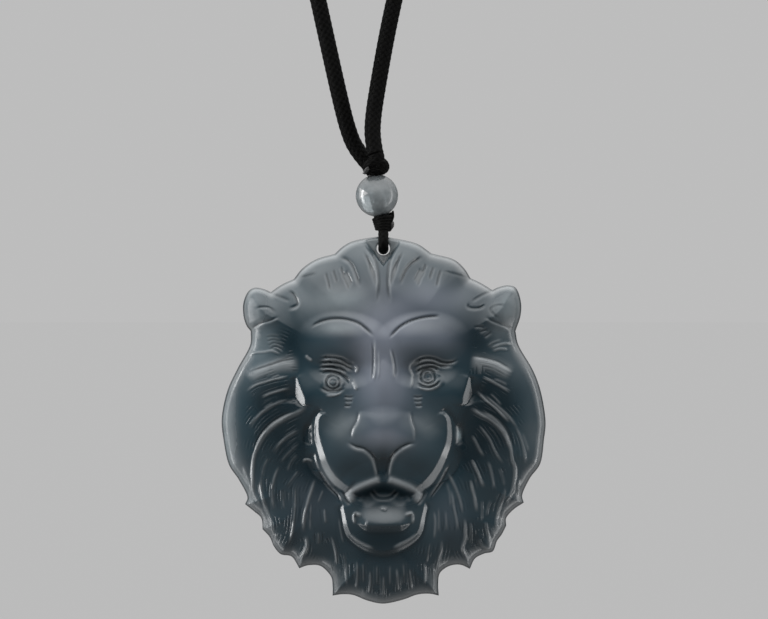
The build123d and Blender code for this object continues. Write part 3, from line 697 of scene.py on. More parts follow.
class Shader:
    """A node tree under construction, with short calls for the nodes used here."""

    def __init__(self, tree: bpy.types.NodeTree) -> None:
        """Starts on an empty tree."""
        self.tree = tree
        tree.nodes.clear()

    @classmethod
    def material(cls, name: str) -> tuple[bpy.types.Material, "Shader"]:
        """Starts a material.

        Args:
            name: The material's name.

        Returns:
            The material and its node tree.
        """
        material = bpy.data.materials.new(name)
        material.use_nodes = True
        return material, cls(material.node_tree)

    def feed(self, socket: bpy.types.NodeSocket, value: object) -> None:
        """Links another socket to this one, or sets its value.

        Args:
            socket: The input that is fed.
            value: A socket, or a value that the input takes.
        """
        if isinstance(value, bpy.types.NodeSocket):
            self.tree.links.new(value, socket)
        else:
            socket.default_value = value

    def node(self, kind: str, inputs: Feeds | None = None, **settings: object) -> bpy.types.Node:
        """Adds a node.

        Args:
            kind: The node's type, without the ShaderNode in front.
            inputs: Sockets or values to feed it, by an input's number or name.
            **settings: Properties to set on it.

        Returns:
            The new node.
        """
        made = self.tree.nodes.new("ShaderNode" + kind)
        for name, value in settings.items():
            setattr(made, name, value)
        for place, value in (inputs or {}).items():
            self.feed(made.inputs[place], value)
        return made

    def place(self, kind: str = "Object") -> bpy.types.NodeSocket:
        """Gives the place in coordinates of a kind."""
        return self.node("TexCoord").outputs[kind]

    def math(self, operation: str, *values: object, clamp: bool = False) -> bpy.types.NodeSocket:
        """Adds a Math node and gives its result."""
        return self.node("Math", dict(enumerate(values)), operation=operation, use_clamp=clamp).outputs[0]

    def mix(self, share: object, first: object, second: object, blend: str = "MIX") -> bpy.types.NodeSocket:
        """Blends two colours by a share and gives the result."""
        return self.node("Mix", {0: share, 6: first, 7: second}, data_type="RGBA", blend_type=blend).outputs[2]

    def ramp(self, value: object, low: float, high: float) -> bpy.types.NodeSocket:
        """Maps a range of values smoothly to 0 to 1."""
        return self.node("MapRange", {0: value, 1: low, 2: high}, interpolation_type="SMOOTHSTEP").outputs[0]

    def noise(self, place: object, scale: object, detail: float = 3.0, warp: float = 0.0) -> bpy.types.NodeSocket:
        """Adds a noise texture and gives its value."""
        return self.node("TexNoise", {"Vector": place, "Scale": scale, "Detail": detail, "Distortion": warp}).outputs[0]

    def split(self, kind: str, value: bpy.types.NodeSocket) -> Sequence[bpy.types.NodeSocket]:
        """Takes a colour (Color) or a vector (XYZ) apart and gives its three parts."""
        return self.node("Separate" + kind, {0: value}).outputs

    def group(self, tree: bpy.types.NodeTree, **values: object) -> Sequence[bpy.types.NodeSocket]:
        """Adds a node group, feeds its inputs by name and gives its outputs."""
        return self.node("Group", values, node_tree=tree).outputs

    def bump(self, height: object, depth: float, strength: float = 1.0) -> bpy.types.NodeSocket:
        """Turns a height into a normal, by a depth in metres."""
        return self.node("Bump", {"Height": height, "Distance": depth, "Strength": strength}).outputs[0]

    def put_out(self, kind: str, shader: bpy.types.Node) -> None:
        """Adds the tree's output, Material or World, and links a shader to it."""
        self.node("Output" + kind, {0: shader.outputs[0]})

    def principled(self, **values: object) -> None:
        """Adds the surface shader, fed by input names with underscores for spaces, and its output."""
        inputs = {name.replace("_", " "): value for name, value in values.items()}
        self.put_out("Material", self.node("BsdfPrincipled", inputs))


def new_group(name: str, inputs: dict[str, float | None], outputs: Sequence[str]) -> tuple[Shader, dict, dict]:
    """Starts a shader node group.

    Args:
        name: The group's name.
        inputs: Inputs by name, each with its default, or None for a vector.
        outputs: Names of the values that it puts out.

    Returns:
        The group as a Shader, its inputs' sockets and its outputs' sockets by name.
    """
    tree = bpy.data.node_groups.new(name, "ShaderNodeTree")
    for label, start in inputs.items():
        kind = "NodeSocketVector" if start is None else "NodeSocketFloat"
        made = tree.interface.new_socket(label, in_out="INPUT", socket_type=kind)
        if start is not None:
            made.default_value = start
    for label in outputs:
        tree.interface.new_socket(label, in_out="OUTPUT", socket_type="NodeSocketFloat")
    group = Shader(tree)
    inside = tree.nodes.new("NodeGroupInput").outputs
    outside = tree.nodes.new("NodeGroupOutput").inputs
    return group, {label: inside[label] for label in inputs}, {label: outside[label] for label in outputs}


@cache
def clouds_group() -> bpy.types.NodeTree:
    """Broad and fine clouding inside a stone, from Object coordinates. It is built once."""
    group, into, out = new_group("stone_clouds", {"Place": None, "Scale": 70}, ("Broad", "Fine"))
    for label, detail, faster in (("Broad", 2.0, 1.0), ("Fine", 5.0, 5.0)):
        cloud = group.noise(into["Place"], group.math("MULTIPLY", into["Scale"], faster), detail, 0.6)
        centred = group.math("SUBTRACT", cloud, 0.5)
        group.feed(out[label], group.math("MULTIPLY_ADD", centred, 2.2, 0.5, clamp=True))
    return group.tree


@cache
def braid_group() -> bpy.types.NodeTree:
    """Height of a round braid, from a place along it in mm and a share of the way round. It is built once."""
    inputs = {"Along": 0, "Round": 0, "Yarns": 8, "Lead": 8}
    group, into, out = new_group("braid", inputs, ("Height", "Fibre"))
    turn = group.math("DIVIDE", into["Along"], into["Lead"])
    a = group.math("MULTIPLY", group.math("ADD", into["Round"], turn), into["Yarns"])
    b = group.math("MULTIPLY", group.math("SUBTRACT", into["Round"], turn), into["Yarns"])
    heights = []
    for across, along, odd in ((a, b, 0.0), (b, a, 1.0)):
        crown = group.math("SINE", group.math("MULTIPLY", group.math("FRACT", across), math.pi))
        cell = group.math("ADD", group.math("FLOOR", across), 0.5 + odd)
        wave = group.math("COSINE", group.math("MULTIPLY", group.math("SUBTRACT", along, cell), math.pi))
        heights.append(group.math("MULTIPLY_ADD", wave, 0.5, crown))
    group.feed(out["Height"], group.math("MULTIPLY_ADD", group.math("MAXIMUM", *heights), 0.5, 0.25))
    over = group.math("GREATER_THAN", *heights)
    fibres = [group.math("SINE", group.math("MULTIPLY", way, 2 * math.pi * FIBRES_IN_YARN)) for way in (a, b)]
    swap = group.math("SUBTRACT", *fibres)
    group.feed(out["Fibre"], group.math("MULTIPLY_ADD", over, swap, fibres[1]))
    return group.tree


@dataclass(frozen=True)
class PolishedJade:
    """Finish of the carved head: polished, clouded stone, painted paler where it is thin for light shining through,
    with painted shade in grooves and painted highlights on crests.
    """

    name: str = "polished_jade"
    deep: Colour = (0.002, 0.010, 0.015, 1)
    mid: Colour = (0.010, 0.024, 0.033, 1)
    blue: Colour = (0.030, 0.058, 0.074, 1)
    mauve: Colour = (0.200, 0.220, 0.265, 1)
    pale: Colour = (0.255, 0.266, 0.272, 1)
    teal: Colour = (0.205, 0.265, 0.288, 1)
    painted_highlight: Colour = (0.450, 0.470, 0.480, 1)
    cloud_scale: float = 60.0
    roughness: float = 0.2
    unevenness: float = 0.08
    hair_count: float = 12.0
    hair_gaps_scale: float = 420.0
    hair_depth: float = 0.000022

    def build(self) -> bpy.types.Material:
        """Builds the material.

        Returns:
            The material.
        """
        material, s = Shader.material(self.name)
        place = s.place()
        tones, shares, lie = (s.node("Attribute", attribute_name=name) for name in ("carving", "stone", "hair"))
        thin_glow, groove_shade, crest = s.split("Color", tones.outputs["Color"])
        dark, grey, light = s.split("Color", shares.outputs["Color"])
        dull = shares.outputs["Alpha"]
        from_lock, strength, _ = s.split("Color", lie.outputs["Color"])
        broad, fine = s.group(clouds_group(), Place=place, Scale=self.cloud_scale)

        # fine hairs, as lines with a faint painted highlight and furrows between them in painted shade
        count = s.math("MULTIPLY_ADD", from_lock, self.hair_count, s.math("MULTIPLY", broad, 1.5))
        wave = s.math("SINE", s.math("MULTIPLY", count, 2 * math.pi))
        strong = s.math("MULTIPLY", strength, s.ramp(s.noise(place, self.hair_gaps_scale, 2), 0.36, 0.62))
        lines = s.math("MULTIPLY", s.ramp(wave, 0.5, 1.0), strong)
        furrows = s.math("MULTIPLY", s.ramp(wave, 0.2, -1.0), strong)

        # the stone's body, and what is laid over it in turn: mauve stone, painted light through thin stone and pale
        # stone, dark stone and painted shade, painted shade in grooves, painted highlights on crests, and the hairs
        cloudy = s.math("MULTIPLY_ADD", broad, 0.5, 0.6)
        veined = s.math("MULTIPLY_ADD", fine, 0.3, 0.75)
        clear = s.mix(s.math("MULTIPLY", light, 0.9, clamp=True), self.pale, self.teal)
        body = s.mix(broad, self.mid, self.blue)
        for share, colour in (
            (s.math("MULTIPLY", grey, cloudy, clamp=True), self.mauve),
            # painted light through thin stone, and pale stone
            (s.math("MULTIPLY", s.math("MAXIMUM", thin_glow, light), veined, clamp=True), clear),
            (s.math("MULTIPLY", dark, cloudy, clamp=True), self.deep),
            # painted shade in grooves, at the feet of walls and round the rim
            (s.math("MULTIPLY", groove_shade, 0.8), self.deep),
            # painted highlights on crests
            (s.math("MULTIPLY", crest, 0.4), self.painted_highlight),
            (s.math("MULTIPLY", lines, 0.06), self.pale),
            (s.math("MULTIPLY", furrows, 0.5), self.deep),
        ):
            body = s.mix(share, body, colour)
        polish = s.math("MULTIPLY_ADD", fine, self.unevenness, self.roughness - 0.5 * self.unevenness)
        s.principled(
            Base_Color=body,
            Roughness=s.math("MULTIPLY_ADD", dull, 0.35, polish),
            IOR=JADE_IOR,
            Specular_IOR_Level=s.math("MULTIPLY_ADD", dull, -0.35, 0.5),
            Coat_Weight=s.math("MULTIPLY_ADD", dull, -0.12, 0.12),
            Coat_Roughness=0.08,
            Normal=s.bump(s.math("MULTIPLY_ADD", fine, 0.2, lines), self.hair_depth),
        )
        return material


@dataclass(frozen=True)
class ClearBeadStone:
    """Finish of the bead: pale, half clear stone with soft clouds, painted shade over its upper half and a painted
    highlight on the left. Places in metres.
    """

    name: str = "clear_bead_stone"
    grey: Colour = (0.20, 0.235, 0.25, 1)
    white: Colour = (0.46, 0.49, 0.50, 1)
    shade: Colour = (0.02, 0.024, 0.026, 1)
    highlight_white: Colour = (0.86, 0.87, 0.87, 1)
    cloud_scale: float = 260.0
    dark_above: float = -0.2368
    dark_over: float = 0.003
    highlight_right: float = -0.0022
    highlight_left: float = -0.0038
    highlight_height: float = -0.2366
    highlight_edge: float = 0.0003

    def build(self) -> bpy.types.Material:
        """Builds the material.

        Returns:
            The material.
        """
        material, s = Shader.material(self.name)
        place = s.place()
        broad, fine = s.group(clouds_group(), Place=place, Scale=self.cloud_scale)
        across, _, height = s.split("XYZ", place)
        # painted shade over the bead's upper half
        top_shade = s.ramp(height, self.dark_above, self.dark_above + self.dark_over)

        # a painted highlight on the left, pointed at half its height
        lean = s.math("ABSOLUTE", s.math("ADD", height, -self.highlight_height))
        reach = s.math("MULTIPLY_ADD", lean, 1.5, s.math("ADD", across, -self.highlight_right))
        inner = s.ramp(reach, 0.0, -self.highlight_edge)
        outer = s.ramp(across, self.highlight_left, self.highlight_left + self.highlight_edge)

        body = s.mix(s.math("MULTIPLY_ADD", fine, 0.3, s.math("MULTIPLY", broad, 0.7)), self.grey, self.white)
        for share, colour in ((top_shade, self.shade), (s.math("MULTIPLY", inner, outer), self.highlight_white)):
            body = s.mix(s.math("MULTIPLY", share, 0.7), body, colour)
        s.principled(
            Base_Color=body,
            Roughness=0.2,
            IOR=JADE_IOR,
            Transmission_Weight=0.45,
            Coat_Weight=0.1,
            Coat_Roughness=0.03,
        )
        return material


@dataclass(frozen=True)
class BlackCord:
    """Finish of a woven black cord, whose UV is mm along and share round."""

    name: str = "black_cord"
    colour: Colour = (0.0012, 0.0012, 0.0012, 1)
    yarn_crown_grey: Colour = (0.0055, 0.0055, 0.0052, 1)
    yarns: float = 8.0
    lead_mm: float = 8.0
    depth: float = 0.00012
    fuzz_scale: float = 2500.0
    roughness: float = 0.5

    def build(self) -> bpy.types.Material:
        """Builds the material.

        Returns:
            The material.
        """
        material, s = Shader.material(self.name)
        along, around, _ = s.split("XYZ", s.node("UVMap", uv_map="strand").outputs[0])
        height, fibre = s.group(braid_group(), Along=along, Round=around, Yarns=self.yarns, Lead=self.lead_mm)
        fuzz = s.noise(s.place(), self.fuzz_scale)
        shade = s.math("MULTIPLY_ADD", height, 0.8, s.math("MULTIPLY", fuzz, 0.3), clamp=True)
        surface = s.math("MULTIPLY_ADD", fibre, 0.12, s.math("MULTIPLY_ADD", fuzz, 0.25, height))
        s.principled(
            # painted shade between the yarns, lighter on their crowns
            Base_Color=s.mix(s.math("POWER", shade, 2.0), self.colour, self.yarn_crown_grey),
            Roughness=self.roughness,
            Specular_IOR_Level=0.05,
            Normal=s.bump(surface, self.depth, 0.8),
        )
        return material


@dataclass(frozen=True)
class MeltedEnd:
    """Finish of a cord's sealed end: black, glassy and lumpy."""

    name: str = "melted_end"
    black: Colour = (0.01, 0.01, 0.01, 1)
    grey: Colour = (0.06, 0.06, 0.06, 1)
    lump_scale: float = 1800.0
    depth: float = 0.0002

    def build(self) -> bpy.types.Material:
        """Builds the material.

        Returns:
            The material.
        """
        material, s = Shader.material(self.name)
        lumps = s.noise(s.place(), self.lump_scale, 2)
        colour = s.mix(lumps, self.black, self.grey)
        s.principled(Base_Color=colour, Roughness=0.16, Normal=s.bump(lumps, self.depth, 0.6))
        return material


@dataclass(frozen=True)
class TwistedThread:
    """Finish of the thread in the bead's bore: black, with a slanting twist."""

    name: str = "twisted_thread"
    black: Colour = (0.003, 0.003, 0.003, 1)
    grey: Colour = (0.012, 0.012, 0.012, 1)
    twist_scale: float = 900.0
    depth: float = 0.0001

    def build(self) -> bpy.types.Material:
        """Builds the material.

        Returns:
            The material.
        """
        material, s = Shader.material(self.name)
        inputs = {"Vector": s.place(), "Scale": self.twist_scale}
        twist = s.node("TexWave", inputs, wave_type="BANDS", bands_direction="DIAGONAL").outputs[1]
        colour = s.mix(twist, self.black, self.grey)
        s.principled(Base_Color=colour, Roughness=0.6, Normal=s.bump(twist, self.depth, 0.7))
        return material


def new_object(bm: bmesh.types.BMesh, name: str, material: bpy.types.Material) -> bpy.types.Object:
    """Turns a bmesh into an object of the scene.

    Args:
        bm: The shape. It is freed.
        name: The object's name.
        material: Its material.

    Returns:
        The object.
    """
    mesh = bpy.data.meshes.new(name)
    bm.to_mesh(mesh)
    bm.free()
    mesh.materials.append(material)
    made = bpy.data.objects.new(name, mesh)
    bpy.context.scene.collection.objects.link(made)
    return made


def finish_piece(
    bm: bmesh.types.BMesh,
    name: str,
    material: bpy.types.Material,
    replaces: str | None = None,
    body: str = "cord_set",
) -> None:
    """Turns a bmesh into a dressed piece of the object.

    Args:
        bm: The shape, in metres in the part's frame. It is freed.
        name: The piece's name.
        material: Its finish.
        replaces: The solid that it stands for, if any.
        body: The moving body that it rides on.
    """
    for face in bm.faces:
        face.smooth = True
    piece = new_object(bm, name, material)
    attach(piece, body)
    if replaces:
        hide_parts(replaces)
    log.info("%s: %d faces", name, len(piece.data.polygons))


def nurbs_line(points: Sequence[Point], steps: int = 16) -> Array:
    """Reads the smooth line that a route's points control.

    Args:
        points: Control points in metres.
        steps: Samples to a span.

    Returns:
        Points along the line, in metres.
    """
    curve = bpy.data.curves.new("route", "CURVE")
    curve.dimensions = "3D"
    curve.resolution_u = steps
    spline = curve.splines.new("NURBS")
    spline.points.add(len(points) - 1)
    for target, point in zip(spline.points, points):
        target.co = (*point, 1.0)
    spline.order_u = 3
    spline.use_endpoint_u = True
    holder = bpy.data.objects.new("route", curve)
    mesh = bpy.data.meshes.new_from_object(holder)
    line = np.array([v.co[:] for v in mesh.vertices])
    bpy.data.meshes.remove(mesh)
    bpy.data.objects.remove(holder)
    bpy.data.curves.remove(curve)
    return line


def even_line(line: Array, step: float) -> Array:
    """Spaces a line's points evenly.

    Args:
        line: Points of the line, in metres.
        step: About how far apart they come to lie, in metres.

    Returns:
        The new points.
    """
    lengths = travelled(line)
    count = max(2, int(round(lengths[-1] / step)) + 1)
    wanted = np.linspace(0.0, lengths[-1], count)
    return np.column_stack([np.interp(wanted, lengths, line[:, k]) for k in range(3)])


def line_frames(line: Array) -> tuple[Array, Array, Array]:
    """Carries a frame along a line without twist.

    Args:
        line: Points of the line.

    Returns:
        Unit vectors along, across and across at right angles, at each point.
    """
    ahead = np.gradient(line, axis=0)
    ahead /= np.linalg.norm(ahead, axis=1)[:, None]
    start = np.cross(ahead[0], (0.0, 1.0, 0.0))
    across = np.zeros_like(line)
    across[0] = start / np.linalg.norm(start)
    for k in range(1, len(line)):
        carried = across[k - 1] - ahead[k] * (across[k - 1] @ ahead[k])
        across[k] = carried / np.linalg.norm(carried)
    return ahead, across, np.cross(ahead, across)


def braid_height(along_mm: Array, around: Array, weave: BlackCord) -> Array:
    """Height of a round braid, as the braid shader group has it.

    Args:
        along_mm: Place along the cord.
        around: Share of the way round.
        weave: The cord's finish, which says how it is woven.

    Returns:
        The height, from about 0 to 1.
    """
    a = weave.yarns * (around + along_mm / weave.lead_mm)
    b = weave.yarns * (around - along_mm / weave.lead_mm)
    over = np.sin(np.pi * (a % 1.0)) + 0.5 * np.cos(np.pi * (b - np.floor(a) - 0.5))
    under = np.sin(np.pi * (b % 1.0)) + 0.5 * np.cos(np.pi * (a - np.floor(b) - 1.5))
    return 0.5 * np.maximum(over, under) + 0.25


def tube(line: Array, radius: Callable[[Array, Array], Array], around: int) -> bmesh.types.BMesh:
    """Sweeps a tube along a line, with a strand UV map of mm along and share round.

    Args:
        line: Points of the line, in metres.
        radius: Gives the radius in metres from mm along and share round.
        around: Faces round the tube.

    Returns:
        The tube, with its ends closed.
    """
    rows = len(line) - 1
    lengths = travelled(line) / MM
    ahead, across, beside = line_frames(line)
    bm = bmesh.new()
    bmesh.ops.create_grid(bm, x_segments=rows, y_segments=around, size=1.0, calc_uvs=False)
    flat = np.array([v.co[:2] for v in bm.verts])
    row = np.rint((flat[:, 0] + 1.0) * 0.5 * rows).astype(int)
    share = np.rint((flat[:, 1] + 1.0) * 0.5 * around) / around
    angle = 2.0 * np.pi * share
    out = across[row] * np.cos(angle)[:, None] + beside[row] * np.sin(angle)[:, None]
    out *= radius(lengths[row], share)[:, None]

    # a tight bend would fold the wall over itself, so its inner side stops
    # short of the bend's centre
    bend = np.gradient(ahead, axis=0) / np.gradient(lengths * MM)[:, None]
    sharp = np.maximum(np.linalg.norm(bend, axis=1), TINY)
    inward = (bend / sharp[:, None])[row]
    over = np.maximum((out * inward).sum(axis=1) - BEND_SHARE / sharp[row], 0.0)
    spots = line[row] + out - inward * over[:, None]

    layer = bm.loops.layers.uv.new("strand")
    for vert, spot, k, part in zip(bm.verts, spots, row, share):
        vert.co = spot
        for loop in vert.link_loops:
            loop[layer].uv = (lengths[k], part)
    bmesh.ops.remove_doubles(bm, verts=bm.verts[:], dist=WELD)
    bmesh.ops.holes_fill(bm, edges=[e for e in bm.edges if e.is_boundary], sides=0)
    bmesh.ops.recalc_face_normals(bm, faces=bm.faces[:])
    return bm


def braided_tube(
    line: Array, radius: float, end_radius: float, relief: float, weave: BlackCord, around: int = 32
) -> bmesh.types.BMesh:
    """Sweeps a braided cord along a line.

    Args:
        line: Points of the line, in metres.
        radius: Radius at its start, in mm.
        end_radius: Radius at its end, in mm.
        relief: Height of the braid, in mm.
        weave: The cord's finish, which says how it is woven.
        around: Faces round the cord.

    Returns:
        The cord, with its ends closed.
    """
    total = travelled(line)[-1] / MM

    def swell(along_mm: Array, share: Array) -> Array:
        """Radius with the braid's relief."""
        size = radius + (end_radius - radius) * along_mm / total
        return (size + relief * (braid_height(along_mm, share, weave) - BRAID_LEVEL)) * MM

    return tube(line, swell, around)


def near_line(points: Sequence[Point], step: float = 0.12) -> Array:
    """Smooth line through a route in mm from the hole, as points about step mm apart."""
    return even_line(nurbs_line([near_hole(*p) for p in points]), step * MM)


def joined(parts: Sequence[bmesh.types.BMesh]) -> bmesh.types.BMesh:
    """Puts several shapes into one.

    Args:
        parts: The shapes. All but the first are freed.

    Returns:
        The first shape, with the others in it.
    """
    first = parts[0]
    for part in parts[1:]:
        mesh = bpy.data.meshes.new("part")
        part.to_mesh(mesh)
        part.free()
        first.from_mesh(mesh)
        bpy.data.meshes.remove(mesh)
    return first


def melted_blob(centre: Point, half: Point, lean: float, seed: float) -> bmesh.types.BMesh:
    """Makes a lump of melted cord.

    Args:
        centre: Its middle, in mm from the hole.
        half: Half its width, depth and height, in mm.
        lean: How far its top leans to the right, in degrees.
        seed: Offset into the noise that makes it uneven.

    Returns:
        The lump.
    """
    bm = bmesh.new()
    bmesh.ops.create_icosphere(bm, subdivisions=4, radius=1.0)
    for vert in bm.verts:
        vert.co *= 1.0 + LUMP_RISE * noise.noise(vert.co * LUMP_FINENESS + Vector((seed, 0.0, 0.0)))
    bmesh.ops.scale(bm, verts=bm.verts[:], vec=Vector(half) * MM)
    set_down(bm, lean, centre)
    return bm


def set_down(bm: bmesh.types.BMesh, lean: float, centre: Point) -> None:
    """Leans a shape to the right, in degrees, and moves it to a place in mm from the hole."""
    bmesh.ops.rotate(bm, verts=bm.verts[:], matrix=Matrix.Rotation(math.radians(lean), 3, "Y"))
    bmesh.ops.translate(bm, verts=bm.verts[:], vec=near_hole(*centre))


@dataclass
class CarvedHead:
    """The lion head, carved from a slab with a flat back. Sizes in mm, or on the drawing where a line says so."""

    rings: int = 140
    back_rings: int = 35
    rim: float = 1.7
    body: float = 3.6
    body_slope: float = 8.5
    body_start: float = 1.5
    forms_margin: float = 2.5
    cuts_margin: float = 0.8
    edge_roll: float = 0.6
    edge_roll_width: float = 0.9
    back_roll: float = 0.4
    back_shares: Point = (0.4, 0.6, 0.3)
    back_pale: float = 0.2
    back_share: float = 0.86
    hole_radius: float = 1.05
    hole_reach: float = 1.4
    hole_drop: float = 1.85
    seat_thickness: float = 1.8
    thin_glow_range: Mark = (1.5, 3.3)
    rim_shade_line: Mark = (0.1, 0.36)
    finish: PolishedJade = field(default_factory=PolishedJade)

    # strength of the painted shade in grooves and the painted highlights on crests,
    # of the painted highlight on a step's raised side and painted shade on its low side,
    # of the painted shade at the feet of walls and the painted dark line round the rim,
    # and where they lie, in widths of a cut
    notch_shade_and_highlight: float = 3.5
    lip_highlight_tone: float = 2.5
    lip_out: float = 1.6
    bank_out: float = 2.0
    shade_tone: float = 1.5
    shade_reach: float = 3.0
    foot_shade_tone: float = 0.8
    rim_shade_tone: float = 1.1

    # the mane's fine hairs: from which shares of the face's oval, distances
    # from an ear and distances from the rim in mm they rise to full strength
    hair_off_face: Mark = (0.9, 1.08)
    hair_off_ear: Mark = (24.0, 34.0)
    hair_off_rim: Mark = (0.5, 1.6)
    hair_off_rim_above: Mark = (2.4, 4.6)
    hair_fade: float = 0.1

    # on the drawing: the seat of the loop, the middle of the rings, the ovals
    # that the mane's fine hairs keep out of, and the heights where they start
    seat_half: float = 19.0
    seat_wall: float = 2.6
    seat_top: float = 240.0
    seat_length: float = 27.0
    middle: Mark = (DRAWING_MIDDLE, 419.9)
    face_half: Mark = (84.0, 126.0)
    face_down: float = 428.0
    ear_out: float = 121.0
    ear_down: float = 306.0
    hair_span: float = 40.0
    hair_top: Mark = (318.0, 345.0)
    hair_low: Mark = (470.0, 505.0)

    def outline(self, count: int) -> Array:
        """Shares points out round the outline, with one on every tip.

        Args:
            count: How many points.

        Returns:
            The points on the drawing, anticlockwise from the lower right.
        """
        runs = [curve_points(run, FINE_STEPS) for run in OUTLINE_RUNS]
        lengths = np.array([travelled(run)[-1] for run in runs])
        ideal = lengths * count / lengths.sum()
        counts = np.floor(ideal).astype(int)
        while counts.sum() < count:
            counts[np.argmax(ideal - counts)] += 1
        points = []
        for run, number in zip(runs, counts):
            at = travelled(run)
            wanted = np.linspace(0.0, at[-1], number, endpoint=False)
            points.append(np.column_stack([np.interp(wanted, at, run[:, k]) for k in (0, 1)]))
        rim = np.vstack(points)
        start = int(np.argmax(rim[:, 0] + rim[:, 1]))
        return np.roll(rim, -start - 1, axis=0)[::-1]

    def grid_places(self, verts: Sequence[bmesh.types.BMVert], rings: int, rim: Array) -> Array:
        """Finds the places on the drawing that a square grid's points move to.

        Args:
            verts: The grid's points, from -1 to 1 both ways.
            rings: Rings of squares from the middle to the rim.
            rim: Points of the outline.

        Returns:
            The places on the drawing.
        """
        i, j = np.rint(np.array([v.co[:2] for v in verts]).T * rings).astype(int)
        ring = np.maximum(np.maximum(np.abs(i), np.abs(j)), 1)
        share = np.select(
            [(i == ring) & (j < ring), (j == ring) & (i > -ring), (i == -ring) & (j > -ring)],
            [j + ring, 3 * ring - i, 5 * ring - j],
            7 * ring + i,
        ) / (8.0 * ring)
        around = np.vstack([rim, rim[:1]])
        at = share * len(rim)
        low = np.minimum(at.astype(int), len(rim) - 1)
        spot = around[low] + (at - low)[:, None] * (around[low + 1] - around[low])
        centre = np.array(self.middle)
        out = np.where((i == 0) & (j == 0), 0, ring)[:, None] / rings
        return centre + (spot - centre) * out

    def strokes(self) -> list[Stroke]:
        """All strokes of the carving: drawn ones, combed hairs, eye rings and wrinkles."""
        strokes = [*STROKES, *LOCKS]
        for comb in COMBS:
            first, last = np.array(comb.first, float), np.array(comb.last, float)
            for share in np.linspace(0.0, 1.0, comb.count):
                points = tuple(map(tuple, first + (last - first) * share))
                strokes.append(Stroke(Cut(comb.width, comb.groove_mm), points))
        turns = np.linspace(0.0, 2.0 * math.pi, RING_POINTS)
        for (x, y), radius, cut in EYE_RINGS:
            points = tuple((x + radius * math.cos(t), y + radius * math.sin(t)) for t in turns)
            strokes.append(Stroke(cut, points))
        for y, start, end in TEAR_WRINKLES:
            marks = ((start, y), (0.5 * (start + end), y + 1), (end, y))
            for sign in (1, -1):
                points = tuple((DRAWING_MIDDLE + sign * (x - DRAWING_MIDDLE), v) for x, v in marks)
                strokes.append(Stroke(WRINKLE, points))
        return strokes

    def forms_height(self, x: Array, y: Array) -> Array:
        """Raises and sinks the forms.

        Args:
            x: Places across the drawing.
            y: Places down the drawing.

        Returns:
            Height in mm that they add.
        """
        total = np.zeros(x.shape)
        for form in FORMS:
            for sign in form.sides.value:
                across = DRAWING_MIDDLE + sign * (x - DRAWING_MIDDLE)
                u, v = turned(across, y, form)
                fill = 1.0 - np.abs(u) ** form.squareness - np.abs(v) ** form.squareness
                total += form.rise_mm * np.clip(fill, 0.0, 1.0) ** form.softness
        return total

    def cut_strokes(self, x: Array, y: Array) -> tuple[Array, Array, Array]:
        """Cuts every stroke.

        Args:
            x: Places across the drawing.
            y: Places down the drawing.

        Returns:
            Height in mm that the strokes add, and the painted shade in grooves and on
            the low sides of steps and the painted highlights on crests, from 0 to 1.
        """
        height, groove_shade, crest = (np.zeros(x.shape) for _ in range(3))
        for stroke in self.strokes():
            cut = stroke.cut
            path = curve_points(stroke.points, STROKE_STEPS)
            margin = STEP_MARGIN * cut.reach + STEP_EXTRA if cut.step_mm else GROOVE_MARGIN * cut.width
            low, high = path.min(axis=0) - margin, path.max(axis=0) + margin
            near = np.nonzero((x > low[0]) & (x < high[0]) & (y > low[1]) & (y < high[1]))[0]
            gap, side, along = nearest(x[near], y[near], path)
            ends = both_ends(2.0 * cut.fade, along) if cut.fade else np.ones(gap.shape)
            notch = bell(gap, cut.width)
            height[near] -= cut.groove_mm * notch * ends
            # a sunk groove gets painted shade, a raised ridge a painted highlight
            (groove_shade if cut.groove_mm > 0 else crest)[near] += notch * ends * abs(cut.groove_mm) * self.notch_shade_and_highlight
            if cut.step_mm:
                raised, step = side * cut.step_mm > 0, abs(cut.step_mm)
                # painted highlight on the lip of a step's raised side, painted shade down its low side
                lip = bell(gap - self.lip_out * cut.width, cut.width) * min(1.0, self.lip_highlight_tone * step)
                shade = np.exp(-gap / (self.shade_reach * cut.width)) * self.shade_tone * step
                height[near] += np.where(raised, step * (1.0 - notch) * np.exp(-gap / cut.reach), 0.0) * ends
                crest[near] += np.where(raised, lip, 0.0) * ends
                groove_shade[near] += np.where(raised, 0.0, shade) * ends
            elif cut.groove_mm > 0:
                # painted highlights on the banks beside a groove
                crest[near] += bell(gap - self.bank_out * cut.width, cut.width) * ends * cut.groove_mm
        return height, np.clip(groove_shade, 0.0, 1.0), np.clip(crest, 0.0, 1.0)

    def plain(self, x: Array, y: Array, rim: Array) -> tuple[Array, Array]:
        """Works out the head before walls and strokes.

        Args:
            x: Places across the drawing.
            y: Places down the drawing.
            rim: Points of the outline.

        Returns:
            Its thickness and the distance from its rim, in mm.
        """
        coarse = np.vstack([rim, rim[:1]])[:: max(1, len(rim) // RIM_POINTS)]
        edge = nearest(x, y, coarse)[0] / UNITS_PER_MM
        inside = np.clip(edge / self.body_slope, 0.0, 1.0)
        start = self.body_start
        swell = (np.sqrt(1.0 - (1.0 - inside) ** 2 + start**2) - start) / (math.sqrt(1.0 + start**2) - start)
        height = self.rim + self.body * swell
        height -= self.edge_roll * np.clip(1.0 - edge / self.edge_roll_width, 0.0, 1.0) ** 2
        return height + self.forms_height(x, y) * np.clip(edge / self.forms_margin, 0.0, 1.0), edge

